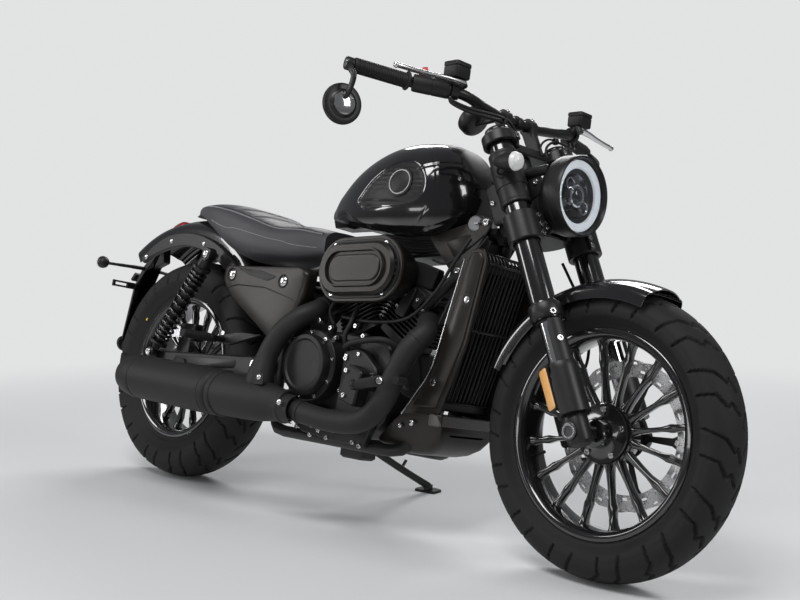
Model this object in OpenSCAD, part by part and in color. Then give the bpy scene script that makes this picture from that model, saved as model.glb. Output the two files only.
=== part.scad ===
// Cruiser motorcycle with a V-twin engine, parked on its side stand.
// Every piece is drawn on the upright bike: x runs forward from the rear axle, y to the
// rider's left and z up from the ground. in_bike() then leans it onto the side stand.
// Pieces that steer are drawn in the fork frame: x ahead of the steering axis, y to the
// left and z up along the axis, from the point where the axis meets the ground.

/* [Stance] */
// Distance between the two axles
wheelbase = 1420; // [1360:10:1500]
// Lean onto the side stand, in degrees
lean = 11.5; // [8:0.5:14]
// Angle of the steering axis from upright, in degrees
rake = 25.8; // [24:0.2:28]
// How far the fork legs stand ahead of the steering axis
fork_offset = 40.5; // [34:0.5:46]
// How far the front wheel is turned when parked, positive to the left, in degrees
parked_steer = -3.5; // [-20:0.5:20]

/* [Wheels] */
// Outer radius of the front tyre
front_tyre_r = 300; // [280:1:310]
// Width of the front tyre
front_tyre_w = 120; // [100:1:130]
// Radius of the front rim at its edge
front_rim_r = 217; // [200:1:230]
// Outer radius of the rear tyre
rear_tyre_r = 315; // [295:1:325]
// Width of the rear tyre
rear_tyre_w = 150; // [130:1:160]
// Radius of the rear rim at its edge
rear_rim_r = 206; // [190:1:220]
// Spokes in each wheel
spoke_count = 16; // [10:1:18]
// Radius of both axles
axle_r = 10; // [8:0.5:12]
// Radius of the front brake disc
front_disc_r = 160; // [130:1:165]
// Radius of the rear brake disc
rear_disc_r = 115; // [90:1:125]

/* [Fork] */
// Distance from the steering axis plane to each fork leg
leg_y = 106; // [100:1:115]
// Radius of the outer fork tubes
outer_tube_r = 28; // [25:0.5:29]
// Radius of the bright inner fork tubes
inner_tube_r = 21; // [18:0.5:22]
// Radius of the shrouds between the fork clamps
shroud_r = 31; // [30:0.5:34]
// Radius of the headlight
headlight_r = 90; // [75:1:95]
// Half the distance between the ends of the handlebar
bar_half = 416; // [380:2:440]
// Radius of the handlebar tube
bar_r = 12.5; // [11:0.5:14]

/* [Bodywork] */
// Half the width of the fuel tank
tank_half = 150; // [130:2:165]
// Half the width of the seat
seat_half = 140; // [120:2:150]
// Outer radius of the rear fender, about the rear axle
rear_fender_r = 440; // [430:2:455]
// Radius of the muffler
muffler_r = 60; // [48:1:62]
// Half the width of the radiator
radiator_half = 92; // [80:1:96]

/* [Engine] */
// Lean of the front cylinder, forward from upright, in degrees
front_cylinder_lean = 31; // [28:1:34]
// Lean of the rear cylinder, forward from upright, in degrees
rear_cylinder_lean = -25; // [-28:1:-22]
// Radius of the clutch cover
clutch_r = 74; // [60:1:80]

/* [Hidden] */
$fn = 48;

// Gap between faces that only touch, between bodies, and round a shaft
touch = 0.3;
shaft_gap = 0.08;

// Crown radius of each tyre's tread, which meets the floor when the bike leans
front_crown_r = 75;
rear_crown_r = 105;
// The leaned bike rises by this much to stand on the rear tyre's crown
lift = rear_crown_r * (1 - cos(lean));
// Place of the front axle along the fork, so that the steered, leaned tyre meets the floor
steered_tilt = -cos(parked_steer) * sin(lean) - sin(parked_steer) * sin(rake) * cos(lean);
front_drop = (front_tyre_r - front_crown_r) * sqrt(1 - pow(steered_tilt, 2)) + front_crown_r;
axle_u = ((fork_offset * sin(parked_steer) * sin(lean) + front_drop - lift) / cos(lean)
    - fork_offset * cos(parked_steer) * sin(rake)) / cos(rake);
// Where the steering axis meets the ground
steer_x = wheelbase - fork_offset * cos(rake) + axle_u * sin(rake);
// The middle of the whole leaned bike, which becomes the origin
origin_x = 662;
origin_y = 188;

// ---------- shared shapes ----------

function unit(v) = v / norm(v);

// A smooth curve through points p, with n steps between each pair
function spline(p, n) = concat(
    [for (i = [0:len(p) - 2], j = [0:n - 1])
        let (t = j / n, a = p[max(i - 1, 0)], b = p[i], c = p[i + 1],
             d = p[min(i + 2, len(p) - 1)])
        0.5 * (2 * b + (c - a) * t + (2 * a - 5 * b + 4 * c - d) * t * t
            + (3 * b - a - 3 * c + d) * t * t * t)],
    [p[len(p) - 1]]);

// Points of an arc about a centre
function arc(centre, r, from, to, n) =
    [for (i = [0:n]) let (a = from + (to - from) * i / n) centre + r * [cos(a), sin(a)]];

// Reads a smooth value at t, from 0 to 1, out of evenly spaced values
function along(values, t) =
    let (s = t * (len(values) - 1), i = min(floor(s), len(values) - 2), f = s - i,
         a = values[max(i - 1, 0)], b = values[i], c = values[i + 1],
         d = values[min(i + 2, len(values) - 1)])
    0.5 * (2 * b + (c - a) * f + (2 * a - 5 * b + 4 * c - d) * f * f
        + (3 * b - a - 3 * c + d) * f * f * f);

// Joins rings of points into one closed skin
module loft(rings) {
    m = len(rings[0]);
    n = len(rings);
    polyhedron(
        points = [for (ring = rings) each ring],
        faces = concat(
            [[for (k = [m - 1:-1:0]) k]],
            [for (i = [0:n - 2], k = [0:m - 1]) each
                let (a = i * m + k, b = i * m + (k + 1) % m)
                [[a, b, b + m], [a, b + m, a + m]]],
            [[for (k = [0:m - 1]) (n - 1) * m + k]]));
}

// A round bar of radius r, or of the radii in r, along a path of points
module tube(path, r, sides = 10, ref = [0, 1, 0]) {
    n = len(path);
    loft([for (i = [0:n - 1])
        let (t = unit(path[min(i + 1, n - 1)] - path[max(i - 1, 0)]),
             b1 = unit(cross(t, ref)), b2 = cross(b1, t),
             radius = is_list(r) ? r[i] : r)
        [for (k = [0:sides - 1])
            path[i] + radius * (b1 * cos(360 * k / sides) + b2 * sin(360 * k / sides))]]);
}

// Turns the z axis towards a direction
module facing(d) {
    rotate([0, acos(d.z / norm(d)), atan2(d.y, d.x)]) children();
}

// A round bar from a to b
module bar(a, b, r) {
    translate(a) facing(b - a) cylinder(r = r, h = norm(b - a));
}

// A round bar with ball ends, as one hull
module limb(a, b, r) {
    hull() {
        translate(a) sphere(r = r, $fn = 12);
        translate(b) sphere(r = r, $fn = 12);
    }
}

// A plate cut from a side outline of [x, z] points, from y0 to y1
module side_plate(outline, y0, y1) {
    translate([0, y1, 0]) rotate([90, 0, 0]) linear_extrude(y1 - y0) polygon(outline);
}

// A round disc or pin across the bike, from y0 to y1
module across(x, z, r, y0, y1) {
    translate([x, y0, z]) rotate([-90, 0, 0]) cylinder(r = r, h = y1 - y0);
}

module both_sides() {
    children();
    mirror([0, 1, 0]) children();
}

module in_bike() {
    translate([-origin_x, -origin_y, lift]) rotate([-lean, 0, 0]) children();
}

// The fork frame, turned with the steering as parked
module in_fork() {
    in_bike() translate([steer_x, 0, 0]) rotate([0, -rake, 0]) rotate([0, 0, parked_steer])
        children();
}

// The upright bike's frame, turned with the steering as parked
module in_steered() {
    in_fork() rotate([0, rake, 0]) translate([-steer_x, 0, 0]) children();
}

// ---------- wheels ----------

wheel_gap = 0.3;
rim_lip = 7;
front_rim_half = 40;
rear_rim_half = 52;
hub_half = 58;
hub_flange_half = 26;

// Half the section of a tyre: crown, shoulder, side wall and bead
function tyre_side(r, w, seat_r, seat_half_w, crown_r, shoulder_r) =
    let (a = asin((w / 2 - shoulder_r) / (crown_r - shoulder_r)),
         centre = [r - crown_r + (crown_r - shoulder_r) * cos(a), w / 2 - shoulder_r])
    concat(
        [for (i = [0:3]) [r - crown_r + crown_r * cos(a * i / 4), crown_r * sin(a * i / 4)]],
        arc(centre, shoulder_r, a, 112, 7),
        [[seat_r + rim_lip + 6, seat_half_w + 1], [seat_r + rim_lip, seat_half_w],
         [seat_r, seat_half_w]]);

module tyre(r, w, edge_r, half_w, crown_r, shoulder_r) {
    side = tyre_side(r, w, edge_r - rim_lip, half_w, crown_r, shoulder_r);
    n = len(side);
    rotate([-90, 0, 0]) rotate_extrude($fn = 96)
        polygon(concat(side, [for (i = [n - 1:-1:1]) [side[i].x, -side[i].y]]));
}

// A cast wheel: rim with lips, hub and straight spokes with a swelling near the rim
module cast_wheel(edge_r, half_w) {
    seat_r = edge_r - rim_lip - wheel_gap;
    inner_r = seat_r - 12;
    lip_y = half_w + wheel_gap;
    rotate([-90, 0, 0]) {
        rotate_extrude($fn = 96) polygon([
            [inner_r, -lip_y + 4], [inner_r + 6, -lip_y - 4], [edge_r, -lip_y - 4],
            [edge_r, -lip_y], [seat_r, -lip_y], [seat_r, lip_y], [edge_r, lip_y],
            [edge_r, lip_y + 4], [inner_r + 6, lip_y + 4], [inner_r, lip_y - 4]]);
        difference() {
            union() {
                cylinder(r = 30, h = 2 * hub_half, center = true);
                cylinder(r = 64, h = 2 * hub_flange_half, center = true);
                for (i = [0:spoke_count - 1]) rotate([0, 0, 360 * (i + 0.5) / spoke_count])
                    translate([0, 0, -11]) linear_extrude(22) polygon([
                        [55, -9], [100, -5.5], [125, -5], [148, -9], [165, -7],
                        [inner_r + 3, -9], [inner_r + 3, 9], [165, 7], [148, 9],
                        [125, 5], [100, 5.5], [55, 9]]);
            }
            cylinder(r = axle_r + shaft_gap, h = 2 * hub_half + 2, center = true);
        }
    }
}

// A brake disc on arms, with its centre bolted to the hub
arm_step = 0.5; // the carrier's arms are this much thinner each side

module brake_disc(r, thick) {
    rotate([-90, 0, 0]) translate([0, 0, -thick / 2]) {
        difference() {
            cylinder(r = r, h = thick, $fn = 96);
            translate([0, 0, -1]) cylinder(r = r - 36, h = thick + 2, $fn = 96);
        }
        difference() {
            union() {
                cylinder(r = 50, h = thick);
                for (i = [0:4]) rotate([0, 0, 72 * i]) translate([34, -9, arm_step])
                    cube([r - 36 - 34 + 6, 18, thick - 2 * arm_step]);
            }
            translate([0, 0, -1]) cylinder(r = 32, h = thick + 2);
        }
    }
}

front_disc_y = 64;
rear_disc_y = -80;
disc_thick = 5;

module in_front_wheel() {
    in_fork() translate([fork_offset, 0, axle_u]) rotate([0, rake, 0]) children();
}

module in_rear_wheel() {
    in_bike() translate([0, 0, rear_tyre_r]) children();
}

module front_tyre() {
    color("#1c1c1d") in_front_wheel()
        tyre(front_tyre_r, front_tyre_w, front_rim_r, front_rim_half, front_crown_r, 38);
}

module rear_tyre() {
    color("#1c1c1d") in_rear_wheel()
        tyre(rear_tyre_r, rear_tyre_w, rear_rim_r, rear_rim_half, rear_crown_r, 42);
}

module front_rim() {
    color("#111112") in_front_wheel() cast_wheel(front_rim_r, front_rim_half);
}

module rear_rim() {
    color("#111112") in_rear_wheel() cast_wheel(rear_rim_r, rear_rim_half);
}

module front_disc() {
    color("#b9babc") in_front_wheel() {
        translate([0, front_disc_y, 0]) brake_disc(front_disc_r, disc_thick);
        // Spacer onto the hub
        rotate([-90, 0, 0]) translate([0, 0, hub_flange_half + touch]) difference() {
            cylinder(r = 45, h = front_disc_y - disc_thick / 2 - hub_flange_half);
            translate([0, 0, -1]) cylinder(r = 32, h = 60);
        }
    }
}

module rear_disc() {
    color("#b9babc") in_rear_wheel() {
        translate([0, rear_disc_y, 0]) brake_disc(rear_disc_r, disc_thick);
        rotate([90, 0, 0]) translate([0, 0, hub_half + touch]) difference() {
            cylinder(r = 40, h = -rear_disc_y - disc_thick / 2 - hub_half + touch);
            translate([0, 0, -1]) cylinder(r = axle_r + 8, h = 40);
        }
    }
}

sprocket_y = 89;
sprocket_r = 96;
sprocket_thick = 6;

module rear_sprocket() {
    color("#8b8d90") in_rear_wheel() rotate([-90, 0, 0]) difference() {
        union() {
            translate([0, 0, hub_half + touch]) cylinder(r = 45, h = sprocket_y - hub_half);
            translate([0, 0, sprocket_y - sprocket_thick / 2])
                cylinder(r = sprocket_r, h = sprocket_thick, $fn = 96);
        }
        cylinder(r = axle_r + 8, h = 200);
        for (i = [0:4]) rotate([0, 0, 72 * i]) translate([68, 0, 0]) cylinder(r = 13, h = 200);
    }
}

// ---------- frame and rear end ----------

// Height along the steering axis of the clamps and the head tube between them
lower_clamp_u = 770;
upper_clamp_u = 992;
lower_clamp_h = 66;
upper_clamp_h = 26;
stem_r = 17;
head_r = 31;
// Cover plates behind the head tube: how far back, and half the width
head_back = 76;
head_half = 42;
head_low = lower_clamp_u + lower_clamp_h / 2 + 1;
head_high = upper_clamp_u - upper_clamp_h / 2 - 1;

// A point on the bike at height u along the steering axis, f behind it
function on_axis(u, f = 0) =
    [steer_x - u * sin(rake) - f * cos(rake), 0, u * cos(rake) - f * sin(rake)];

tube_r = 17;
rail_y = 95;
arm_y = 104;
arm_w = 22;
pivot = [425, 0, 345];
shock_y = 140;
shock_top = [176, 0, 632];
shock_low = [-18, 0, 345];
neck = on_axis(head_low + 30, 20);
down_foot = [938, 62, 215];
// Where the backbone bends under the tank
knee = neck + [-239.1, 0, -54.2];

module steering_head() {
    color("#1b1b1c") in_bike() {
        translate([steer_x, 0, 0]) rotate([0, -rake, 0]) difference() {
            union() {
                translate([0, 0, head_low]) cylinder(r = head_r, h = head_high - head_low);
                translate([-head_back, -head_half, head_low + 8])
                    cube([head_back - 6, 2 * head_half, head_high - head_low - 30]);
            }
            translate([0, 0, head_low - 1])
                cylinder(r = stem_r + shaft_gap, h = head_high - head_low + 2);
        }
    }
}

// Tank: where it starts and ends, and its top, underside and share of its width on the way
tank_rear_x = 548;
tank_front_x = on_axis(895).x - 121;
tank_tops = [772, 828, 880, 914, 932, 935, 922, 872];
tank_lows = [742, 732, 720, 708, 700, 697, 704, 734];
tank_widths = [0.34, 0.6, 0.8, 0.93, 1, 0.99, 0.9, 0.62];
tank_tunnel = 38;

// Height of the tank's underside at x
function tank_low(x) = along(tank_lows, (x - tank_rear_x) / (tank_front_x - tank_rear_x));

// The down tubes' slope, and a place at height z that far ahead of them
tube_slope = (neck.x - 80 - down_foot.x) / (neck.z - 45 - down_foot.z);
function ahead_of_tubes(z, gap) = [down_foot.x + (z - down_foot.z) * tube_slope
    + gap * sqrt(1 + tube_slope * tube_slope), 0, z];

gusset_foot = ahead_of_tubes(neck.z - 136, 0);
gusset = [[neck.x - 58, neck.z + 6], [neck.x - 230, tank_low(neck.x - 230) + 2],
    [gusset_foot.x - 36.2, gusset_foot.z], [gusset_foot.x - 14.2, gusset_foot.z],
    [neck.x - 44, neck.z - 6]];
rail_z = 190;
seat_rail_y = 98;
seat_rail_end = [286, 0, 543];

module frame_tubes() {
    // Backbone under the tank
    limb(neck + [-50, 0, -25], knee, 20);
    limb(knee, [660, 0, 672], 20);
    both_sides() {
        // Down tubes, cradle and rear uprights
        limb(neck + [-80, 42, -45], down_foot, tube_r);
        limb(down_foot, [900, rail_y, rail_z], 15);
        limb([900, rail_y, rail_z], [520, rail_y, rail_z], 15);
        limb([520, rail_y, rail_z], [450, 60, 235], 15);
        limb([450, 60, 235], [450, 60, 440], 15);
        limb([450, 60, 440], [540, seat_rail_y, 600], 15);
        // Seat rails
        limb([660, 0, 672], [560, seat_rail_y, 600], 15);
        limb([560, seat_rail_y, 600], [400, seat_rail_y, 575], 13);
        limb([400, seat_rail_y, 575], seat_rail_end + [0, seat_rail_y, 0], 13);
        // Gusset plates
        side_plate(gusset, 60, 64);
        limb(neck + [-90, 0, -40], neck + [-90, 60, -40], 12);
    }
    limb([450, -60, 420], [450, 60, 420], 12);
    limb([520, -rail_y, rail_z], [520, rail_y, rail_z], 11);
    limb([400, -seat_rail_y, 575], [400, seat_rail_y, 575], 11);
}

module frame() {
    color("#1d1d1e") in_bike() difference() {
        frame_tubes();
        translate([steer_x, 0, 0]) rotate([0, -rake, 0]) {
            cylinder(r = head_r + touch, h = 1200);
            translate([-head_back - touch, -head_half - touch, head_low + 8 - touch])
                cube([head_back, 2 * (head_half + touch), 400]);
        }
        across(pivot.x, pivot.z, 26, -130, 130);
        tank_solid();
        seat_solid();
        both_sides() fender_rail(touch);
        translate([260, -fender_half - touch, 500]) cube([120, 2 * (fender_half + touch), 120]);
    }
}

module swingarm() {
    color("#18181a") in_bike() {
        difference() {
            union() {
                both_sides() {
                    side_plate([[-52, 300], [-44, 352], [60, 356], [pivot.x - 10, 370],
                        [pivot.x + 22, 345], [pivot.x - 10, 318], [60, 290]],
                        arm_y, arm_y + arm_w);
                    across(shock_low.x, shock_low.z, 14, arm_y + 4, shock_y - 14 - touch);
                }
                across(pivot.x, pivot.z, 25, -arm_y - 4, arm_y + 4);
                translate([350, -arm_y - 4, 325]) cube([34, 2 * arm_y + 8, 40]);
            }
            across(pivot.x, pivot.z, 10, -150, 150);
            across(0, rear_tyre_r, axle_r + shaft_gap, -150, 150);
        }
        // Pivot bolt
        across(pivot.x, pivot.z, 9.9, -136, 136);
        both_sides() across(pivot.x, pivot.z, 17, 127, 137);
    }
}

module rear_axle() {
    color("#9a9c9f") in_bike() {
        across(0, rear_tyre_r, axle_r, -136, 136);
        both_sides() {
            across(0, rear_tyre_r, 16, arm_y + arm_w + touch, 136);
            across(0, rear_tyre_r, 16, hub_half + 12, arm_y - touch);
        }
    }
}

module rear_shocks() {
    axis = shock_low - shock_top;
    color("#202022") in_bike() both_sides() {
        translate([0, shock_y, 0]) {
            difference() {
                union() {
                    across(shock_top.x, shock_top.z, 19, -14, 14);
                    bar(shock_top + unit(axis) * 12, shock_top + unit(axis) * 170, 18);
                    bar(shock_top + unit(axis) * 30, shock_low - unit(axis) * 12, 8);
                    bar(shock_low - unit(axis) * 44, shock_low - unit(axis) * 34, 27);
                    bar(shock_top + unit(axis) * 40, shock_top + unit(axis) * 50, 27);
                    across(shock_low.x, shock_low.z, 15, -14, 14);
                }
                across(shock_top.x, shock_top.z, 8, -40, 40);
                across(shock_low.x, shock_low.z, 8, -40, 40);
            }
            across(shock_top.x, shock_top.z, 7.9, -30, 18);
            across(shock_top.x, shock_top.z, 17, 14 + touch, 20);
            across(shock_low.x, shock_low.z, 7.9, -13, 18);
            across(shock_low.x, shock_low.z, 12, 14 + touch, 20);
        }
    }
}

module shock_springs() {
    axis = shock_low - shock_top;
    start = shock_top + unit(axis) * (50 + touch);
    color("#141415") in_bike() both_sides() translate([0, shock_y, 0]) difference() {
        bar(start, shock_low - unit(axis) * (44 + touch), 25);
        bar(start - unit(axis), shock_low - unit(axis) * 40, 19);
    }
}

// ---------- engine ----------

crank = [770, 0, 370];
clutch = [645, 0, 364];
case_half = 105;
barrel_base = 88;

module crankcase() {
    color("#1a1a1b") in_bike() {
        side_plate([[545, 260], [585, 204.9], [820, 204.9], [880, 250], [898, 330],
            [872, 430], [770, 450], [650, 455], [560, 440], [520, 350]],
            -case_half, case_half);
    }
}

module engine_covers() {
    color("#1e1e1f") in_bike() {
        // Clutch cover, generator cover and their raised plates
        difference() {
            union() {
                across(clutch.x, clutch.z, clutch_r + 14, -142, -case_half - touch);
                across(clutch.x, clutch.z, clutch_r, -168, -141);
            }
            across(clutch.x, clutch.z, clutch_r - 12, -169, -163);
        }
        side_plate([[740, 240], [815, 222], [860, 270], [865, 370], [800, 420], [748, 410]],
            -132, -case_half - touch);
        across(crank.x, crank.z, 80, case_half + touch, 148);
        across(crank.x, crank.z, 58, 147, 156);
        side_plate([[560, 290], [680, 280], [680, 420], [570, 430]], case_half + touch, 132);
    }
}

// The space one cylinder takes, along z from the crank
module cylinder_block() {
    translate([-66, -72, barrel_base]) cube([132, 144, 200]);
}

// One cylinder along z from the crank: finned barrel, head and cover
module cylinder_stack() {
    translate([-62, -62, barrel_base]) cube([124, 124, 30]);
    for (i = [0:4]) translate([-66, -68, barrel_base + 30 + i * 14]) {
        cube([132, 136, 8]);
        translate([8, 10, 7]) cube([116, 116, 8]);
    }
    translate([-60, -64, barrel_base + 99]) cube([120, 128, 40]);
    translate([-66, -72, barrel_base + 138]) cube([132, 144, 36]);
    translate([-54, -60, barrel_base + 173]) cube([108, 120, 12]);
}

module on_crank(tilt) {
    translate(crank) rotate([0, tilt, 0]) children();
}

module front_cylinder() {
    color("#202021") in_bike() difference() {
        on_crank(front_cylinder_lean) cylinder_stack();
        crankcase_cut();
    }
}

module rear_cylinder() {
    color("#202021") in_bike() difference() {
        on_crank(rear_cylinder_lean) cylinder_stack();
        crankcase_cut();
        on_crank(front_cylinder_lean) translate([-90, -90, 0]) cube([160, 180, 330]);
    }
}

module crankcase_cut() {
    side_plate([[500, 150], [898.3, 150], [898.3, 330], [872.3, 430.2], [770, 450.3],
        [650, 455.3], [500, 455.3]], -case_half - 1, case_half + 1);
}

air_cleaner_pos = [797, 603];

module stadium(w, h) {
    r = h / 2;
    translate([-w / 2 + r, 0]) circle(r = r);
    translate([w / 2 - r, 0]) circle(r = r);
    translate([-w / 2 + r, -r]) square([w - h, h]);
}

module air_cleaner() {
    color("#232324") in_bike() {
        // Bosses onto the two cylinder heads
        across(870, 585, 16, -86, -72 - touch);
        across(715, 600, 16, -86, -72 - touch);
        translate([air_cleaner_pos.x - 10, 0, air_cleaner_pos.y])
            rotate([90, -3, 0]) {
                translate([0, 0, 84]) linear_extrude(76) stadium(280, 160);
                translate([0, 0, 159]) linear_extrude(22) stadium(246, 128);
                translate([0, 0, 180]) linear_extrude(8) stadium(170, 74);
            }
    }
}

// ---------- bodywork ----------

// One section of the tank: a full round top with a tunnel for the backbone below
function tank_ring(t) =
    let (x = tank_rear_x + (tank_front_x - tank_rear_x) * t, w = tank_half * along(tank_widths, t),
         top = along(tank_tops, t), low = along(tank_lows, t), mid = low + (top - low) * 0.36)
    concat(
        [for (k = [0:12]) let (a = 180 - 15 * k)
            [x, w * (a == 90 ? 0 : sign(cos(a)) * pow(abs(cos(a)), 0.8)),
             mid + (top - mid) * pow(sin(a), 0.85)]],
        [[x, w * 0.97, mid - (mid - low) * 0.5], [x, w * 0.82, low],
         [x, tank_tunnel, low + 2], [x, tank_tunnel * 0.8, 726 + 16 * t],
         [x, -tank_tunnel * 0.8, 726 + 16 * t],
         [x, -tank_tunnel, low + 2], [x, -w * 0.82, low],
         [x, -w * 0.97, mid - (mid - low) * 0.5]]);

module tank_solid() {
    loft([for (i = [0:20]) tank_ring(i / 20)]);
}

module fuel_tank() {
    color("#0d0d0e") in_bike() tank_solid();
}

seat_rear_x = -40;
seat_front_x = 590;
seat_tops = [766, 784, 790, 782, 757, 729, 727, 714];
seat_lows = [758, 744, 700, 646, 620, 618, 618, 632];
seat_widths = [0.3, 0.7, 0.93, 1, 1, 0.92, 0.82, 0.7];

function seat_ring(t) =
    let (x = seat_rear_x + (seat_front_x - seat_rear_x) * t, w = seat_half * along(seat_widths, t),
         top = along(seat_tops, t), low = along(seat_lows, t), mid = (top + low) / 2)
    [for (k = [0:19]) let (a = 180 - 18 * k, c = cos(a), s = sin(a))
        [x, w * sign(c) * pow(abs(c), 0.6), mid + (top - low) / 2 * sign(s) * pow(abs(s), 0.6)]];

module seat_solid() {
    difference() {
        loft([for (i = [0:18]) seat_ring(i / 18)]);
        // Room for the fender under the seat
        across(0, rear_tyre_r, rear_fender_r + touch, -fender_half - 1, fender_half + 1);
    }
}

module seat() {
    color("#3a3a3d") in_bike() seat_solid();
}

fender_half = 90;
sheet = 4;

// A trough section about the wheel centre, for rotate_extrude
module fender_section(r, half, skirt, crown) {
    difference() {
        union() {
            translate([r - skirt, -half]) square([skirt - 30, 2 * half]);
            intersection() {
                translate([r - 31, -half]) square([31, 2 * half]);
                translate([r - crown, 0]) circle(r = crown, $fn = 96);
            }
        }
        translate([r - skirt - 1, -half + sheet]) square([skirt - 29, 2 * half - 2 * sheet]);
        intersection() {
            translate([r - 31, -half + sheet]) square([31, 2 * half - 2 * sheet]);
            translate([r - crown, 0]) circle(r = crown - sheet, $fn = 96);
        }
    }
}

module rear_fender() {
    color("#111112") in_rear_wheel() rotate([90, 0, 0]) rotate([0, 0, 38])
        rotate_extrude(angle = 90, $fn = 96)
            fender_section(rear_fender_r, fender_half, 70, 130);
}

module fender_rail(grow = 0) {
    translate([0, 0, rear_tyre_r]) rotate([90, 0, 0]) rotate([0, 0, 40 - grow / 6])
        translate([0, 0, -fender_half - 14 - grow])
            rotate_extrude(angle = 84, $fn = 96) translate([345 - grow, 0])
                square([42 + 2 * grow, 13 + 2 * grow]);
}

module fender_rails() {
    color("#161617") in_bike() both_sides() fender_rail();
}

module side_covers() {
    color("#2a2928") in_bike() both_sides() {
        side_plate([[250, 545], [280, 604], [560, 606], [584, 588], [556, 470],
            [500, 424], [330, 428]], 112.8, 144);
        side_plate([[285, 545], [300, 583], [545, 586], [520, 472], [345, 460]], 143.9, 152);
    }
}

module battery_box() {
    color("#151516") in_bike() translate([410, -43, 432]) cube([110, 86, 115]);
}

// ---------- exhaust ----------

muffler_y = -212;
muffler_front = [407, muffler_y, 264];
muffler_back = [46, muffler_y, 273];
muffler_taper = 58;

module muffler() {
    d = unit(muffler_back - muffler_front);
    color("#1f1f20") in_bike() difference() {
        union() {
            bar(muffler_front, muffler_back, muffler_r);
            translate(muffler_back - d * 0.1) facing(d)
                cylinder(r1 = muffler_r, r2 = muffler_r - 14, h = muffler_taper);
        }
        bar(muffler_back - d * 40, muffler_back + d * 80, 24);
    }
}

function on_crank_point(tilt, p) =
    crank + [p.x * cos(tilt) + p.z * sin(tilt), p.y, -p.x * sin(tilt) + p.z * cos(tilt)];

rear_port = on_crank_point(rear_cylinder_lean, [-60, -30, 215]);
front_port = on_crank_point(front_cylinder_lean, [60, -40, 215]);

module exhaust_headers() {
    color("#1d1d1e") in_bike() difference() {
        union() {
            // Collector and the two pipes into it
            tube([muffler_front + [1, 0, 0], [480, -211, 263], [560, -207, 260], [620, -203, 258],
                [655, -200, 256]],
                [muffler_r - 4, muffler_r - 5, 50, 41, 36], 20);
            tube(spline([rear_port, rear_port + [-10, -24, -8], [620, -92, 514],
                [622, -128, 497], [604, -158, 476], [571, -175, 441], [550, -185, 402],
                [541, -195, 358], [540, -203, 316], [545, -207, 278]], 4), 27, 16);
            tube(spline([[640, -200, 256], [720, -195, 246], [800, -188, 240], [880, -180, 250],
                [behind_radiator(295, 69), -172, 295], [behind_radiator(365, 60.4), -165, 365],
                [behind_radiator(425, 51.6), -156, 425], [behind_radiator(466, 43.2), -130, 466],
                [behind_radiator(488, 69.6), -98, 488], [948, -68, 502], front_port], 4), 27, 16);
        }
        on_crank(front_cylinder_lean) cylinder_block();
        on_crank(rear_cylinder_lean) cylinder_block();
        bar(muffler_front + [0.3, 0, 0], muffler_back, muffler_r + touch);
    }
}

// ---------- radiator ----------

radiator_low = ahead_of_tubes(300, 41.4);
radiator_top = ahead_of_tubes(neck.z - 87.2, 34.4);

module in_radiator() {
    d = radiator_top - radiator_low;
    in_bike() translate(radiator_low) rotate([0, atan2(d.x, d.z), 0]) children();
}

radiator_h = norm(radiator_top - radiator_low);

// The radiator's middle plane at height z, and a place that far behind it
radiator_slope = (radiator_top.x - radiator_low.x) / (radiator_top.z - radiator_low.z);
function radiator_x(z) = radiator_low.x + (z - radiator_low.z) * radiator_slope;
function behind_radiator(z, gap) =
    radiator_x(z) - gap * sqrt(1 + radiator_slope * radiator_slope);

// Corners of a side shield: how far ahead of that plane, and the height
cowl_outline = [[48.4, 636], [25, 668], [-11, 668], [-20.5, 640], [-19.1, 387], [-68, 274],
    [45.8, 288], [45, 313], [62.1, 451]];

module radiator() {
    color("#141414") in_radiator() {
        translate([-16, -radiator_half, 0]) cube([32, 2 * radiator_half, radiator_h]);
    }
}

module radiator_cowl() {
    gap = radiator_half + touch;
    color("#2b2a28") in_bike() difference() {
        union() {
            both_sides() side_plate([for (p = cowl_outline) [radiator_x(p[1]) + p[0], p[1]]],
                gap, gap + 16);
            // Belly scoop
            hull() {
                translate([930, -gap - 14, 264]) cube([120, 2 * gap + 28, 26]);
                translate([880, -66, 182]) cube([145, 132, 8]);
            }
            hull() {
                translate([850, -80, 206]) cube([10, 160, 8]);
                translate([930, -96, 220]) cube([60, 192, 40]);
                translate([880, -66, 182]) cube([145, 132, 8]);
            }
        }
        side_plate([[1000, 240], [1100, 240], [1100, 340], [960, 340]], -80, 80);
        both_sides() {
            limb(neck + [-80, 42, -45], down_foot, tube_r + 2 * touch);
            limb(down_foot, [900, rail_y, rail_z], 15 + 2 * touch);
            limb([900, rail_y, rail_z], [800, rail_y, rail_z], 15 + 2 * touch);
        }
        crankcase_cut();
    }
}

// ---------- feet and rear fittings ----------

module foot_controls() {
    color("#2c2c2d") in_bike() both_sides() {
        across(884, 330, 10, case_half + touch, 226);
        bar([884, 218, 330], [1035, 300, 345], 12);
    }
}

module passenger_pegs() {
    color("#2c2c2d") in_bike() both_sides() {
        side_plate([[345, 427.7], [440, 425], [305, 388], [262, 392], [262, 416]], 120, 132);
        across(281, 403, 9, 131, 172);
        bar([281, 170, 403], [264, 255, 404], 12);
    }
}

bracket_pos = [-318, 0, 603];

module rear_lights() {
    color("#2a1214") in_bike() {
        // Tail lamp on top of the fender
        translate([0, 0, rear_tyre_r]) rotate([90, 0, 0]) rotate([0, 0, 106])
            translate([0, 0, -28]) rotate_extrude(angle = 9, $fn = 96)
                translate([rear_fender_r + touch, 0]) square([20, 56]);
        both_sides() limb(bracket_pos + [0, 19.2, 0], [-338, 146, 599], 6);
        both_sides() limb([-338, 146, 599], [-338, 152, 599], 19);
    }
}

// A point on the side of the bike, from its radius and angle about the rear axle
function about_rear(r, a) = [r * cos(a), rear_tyre_r + r * sin(a)];

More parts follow.
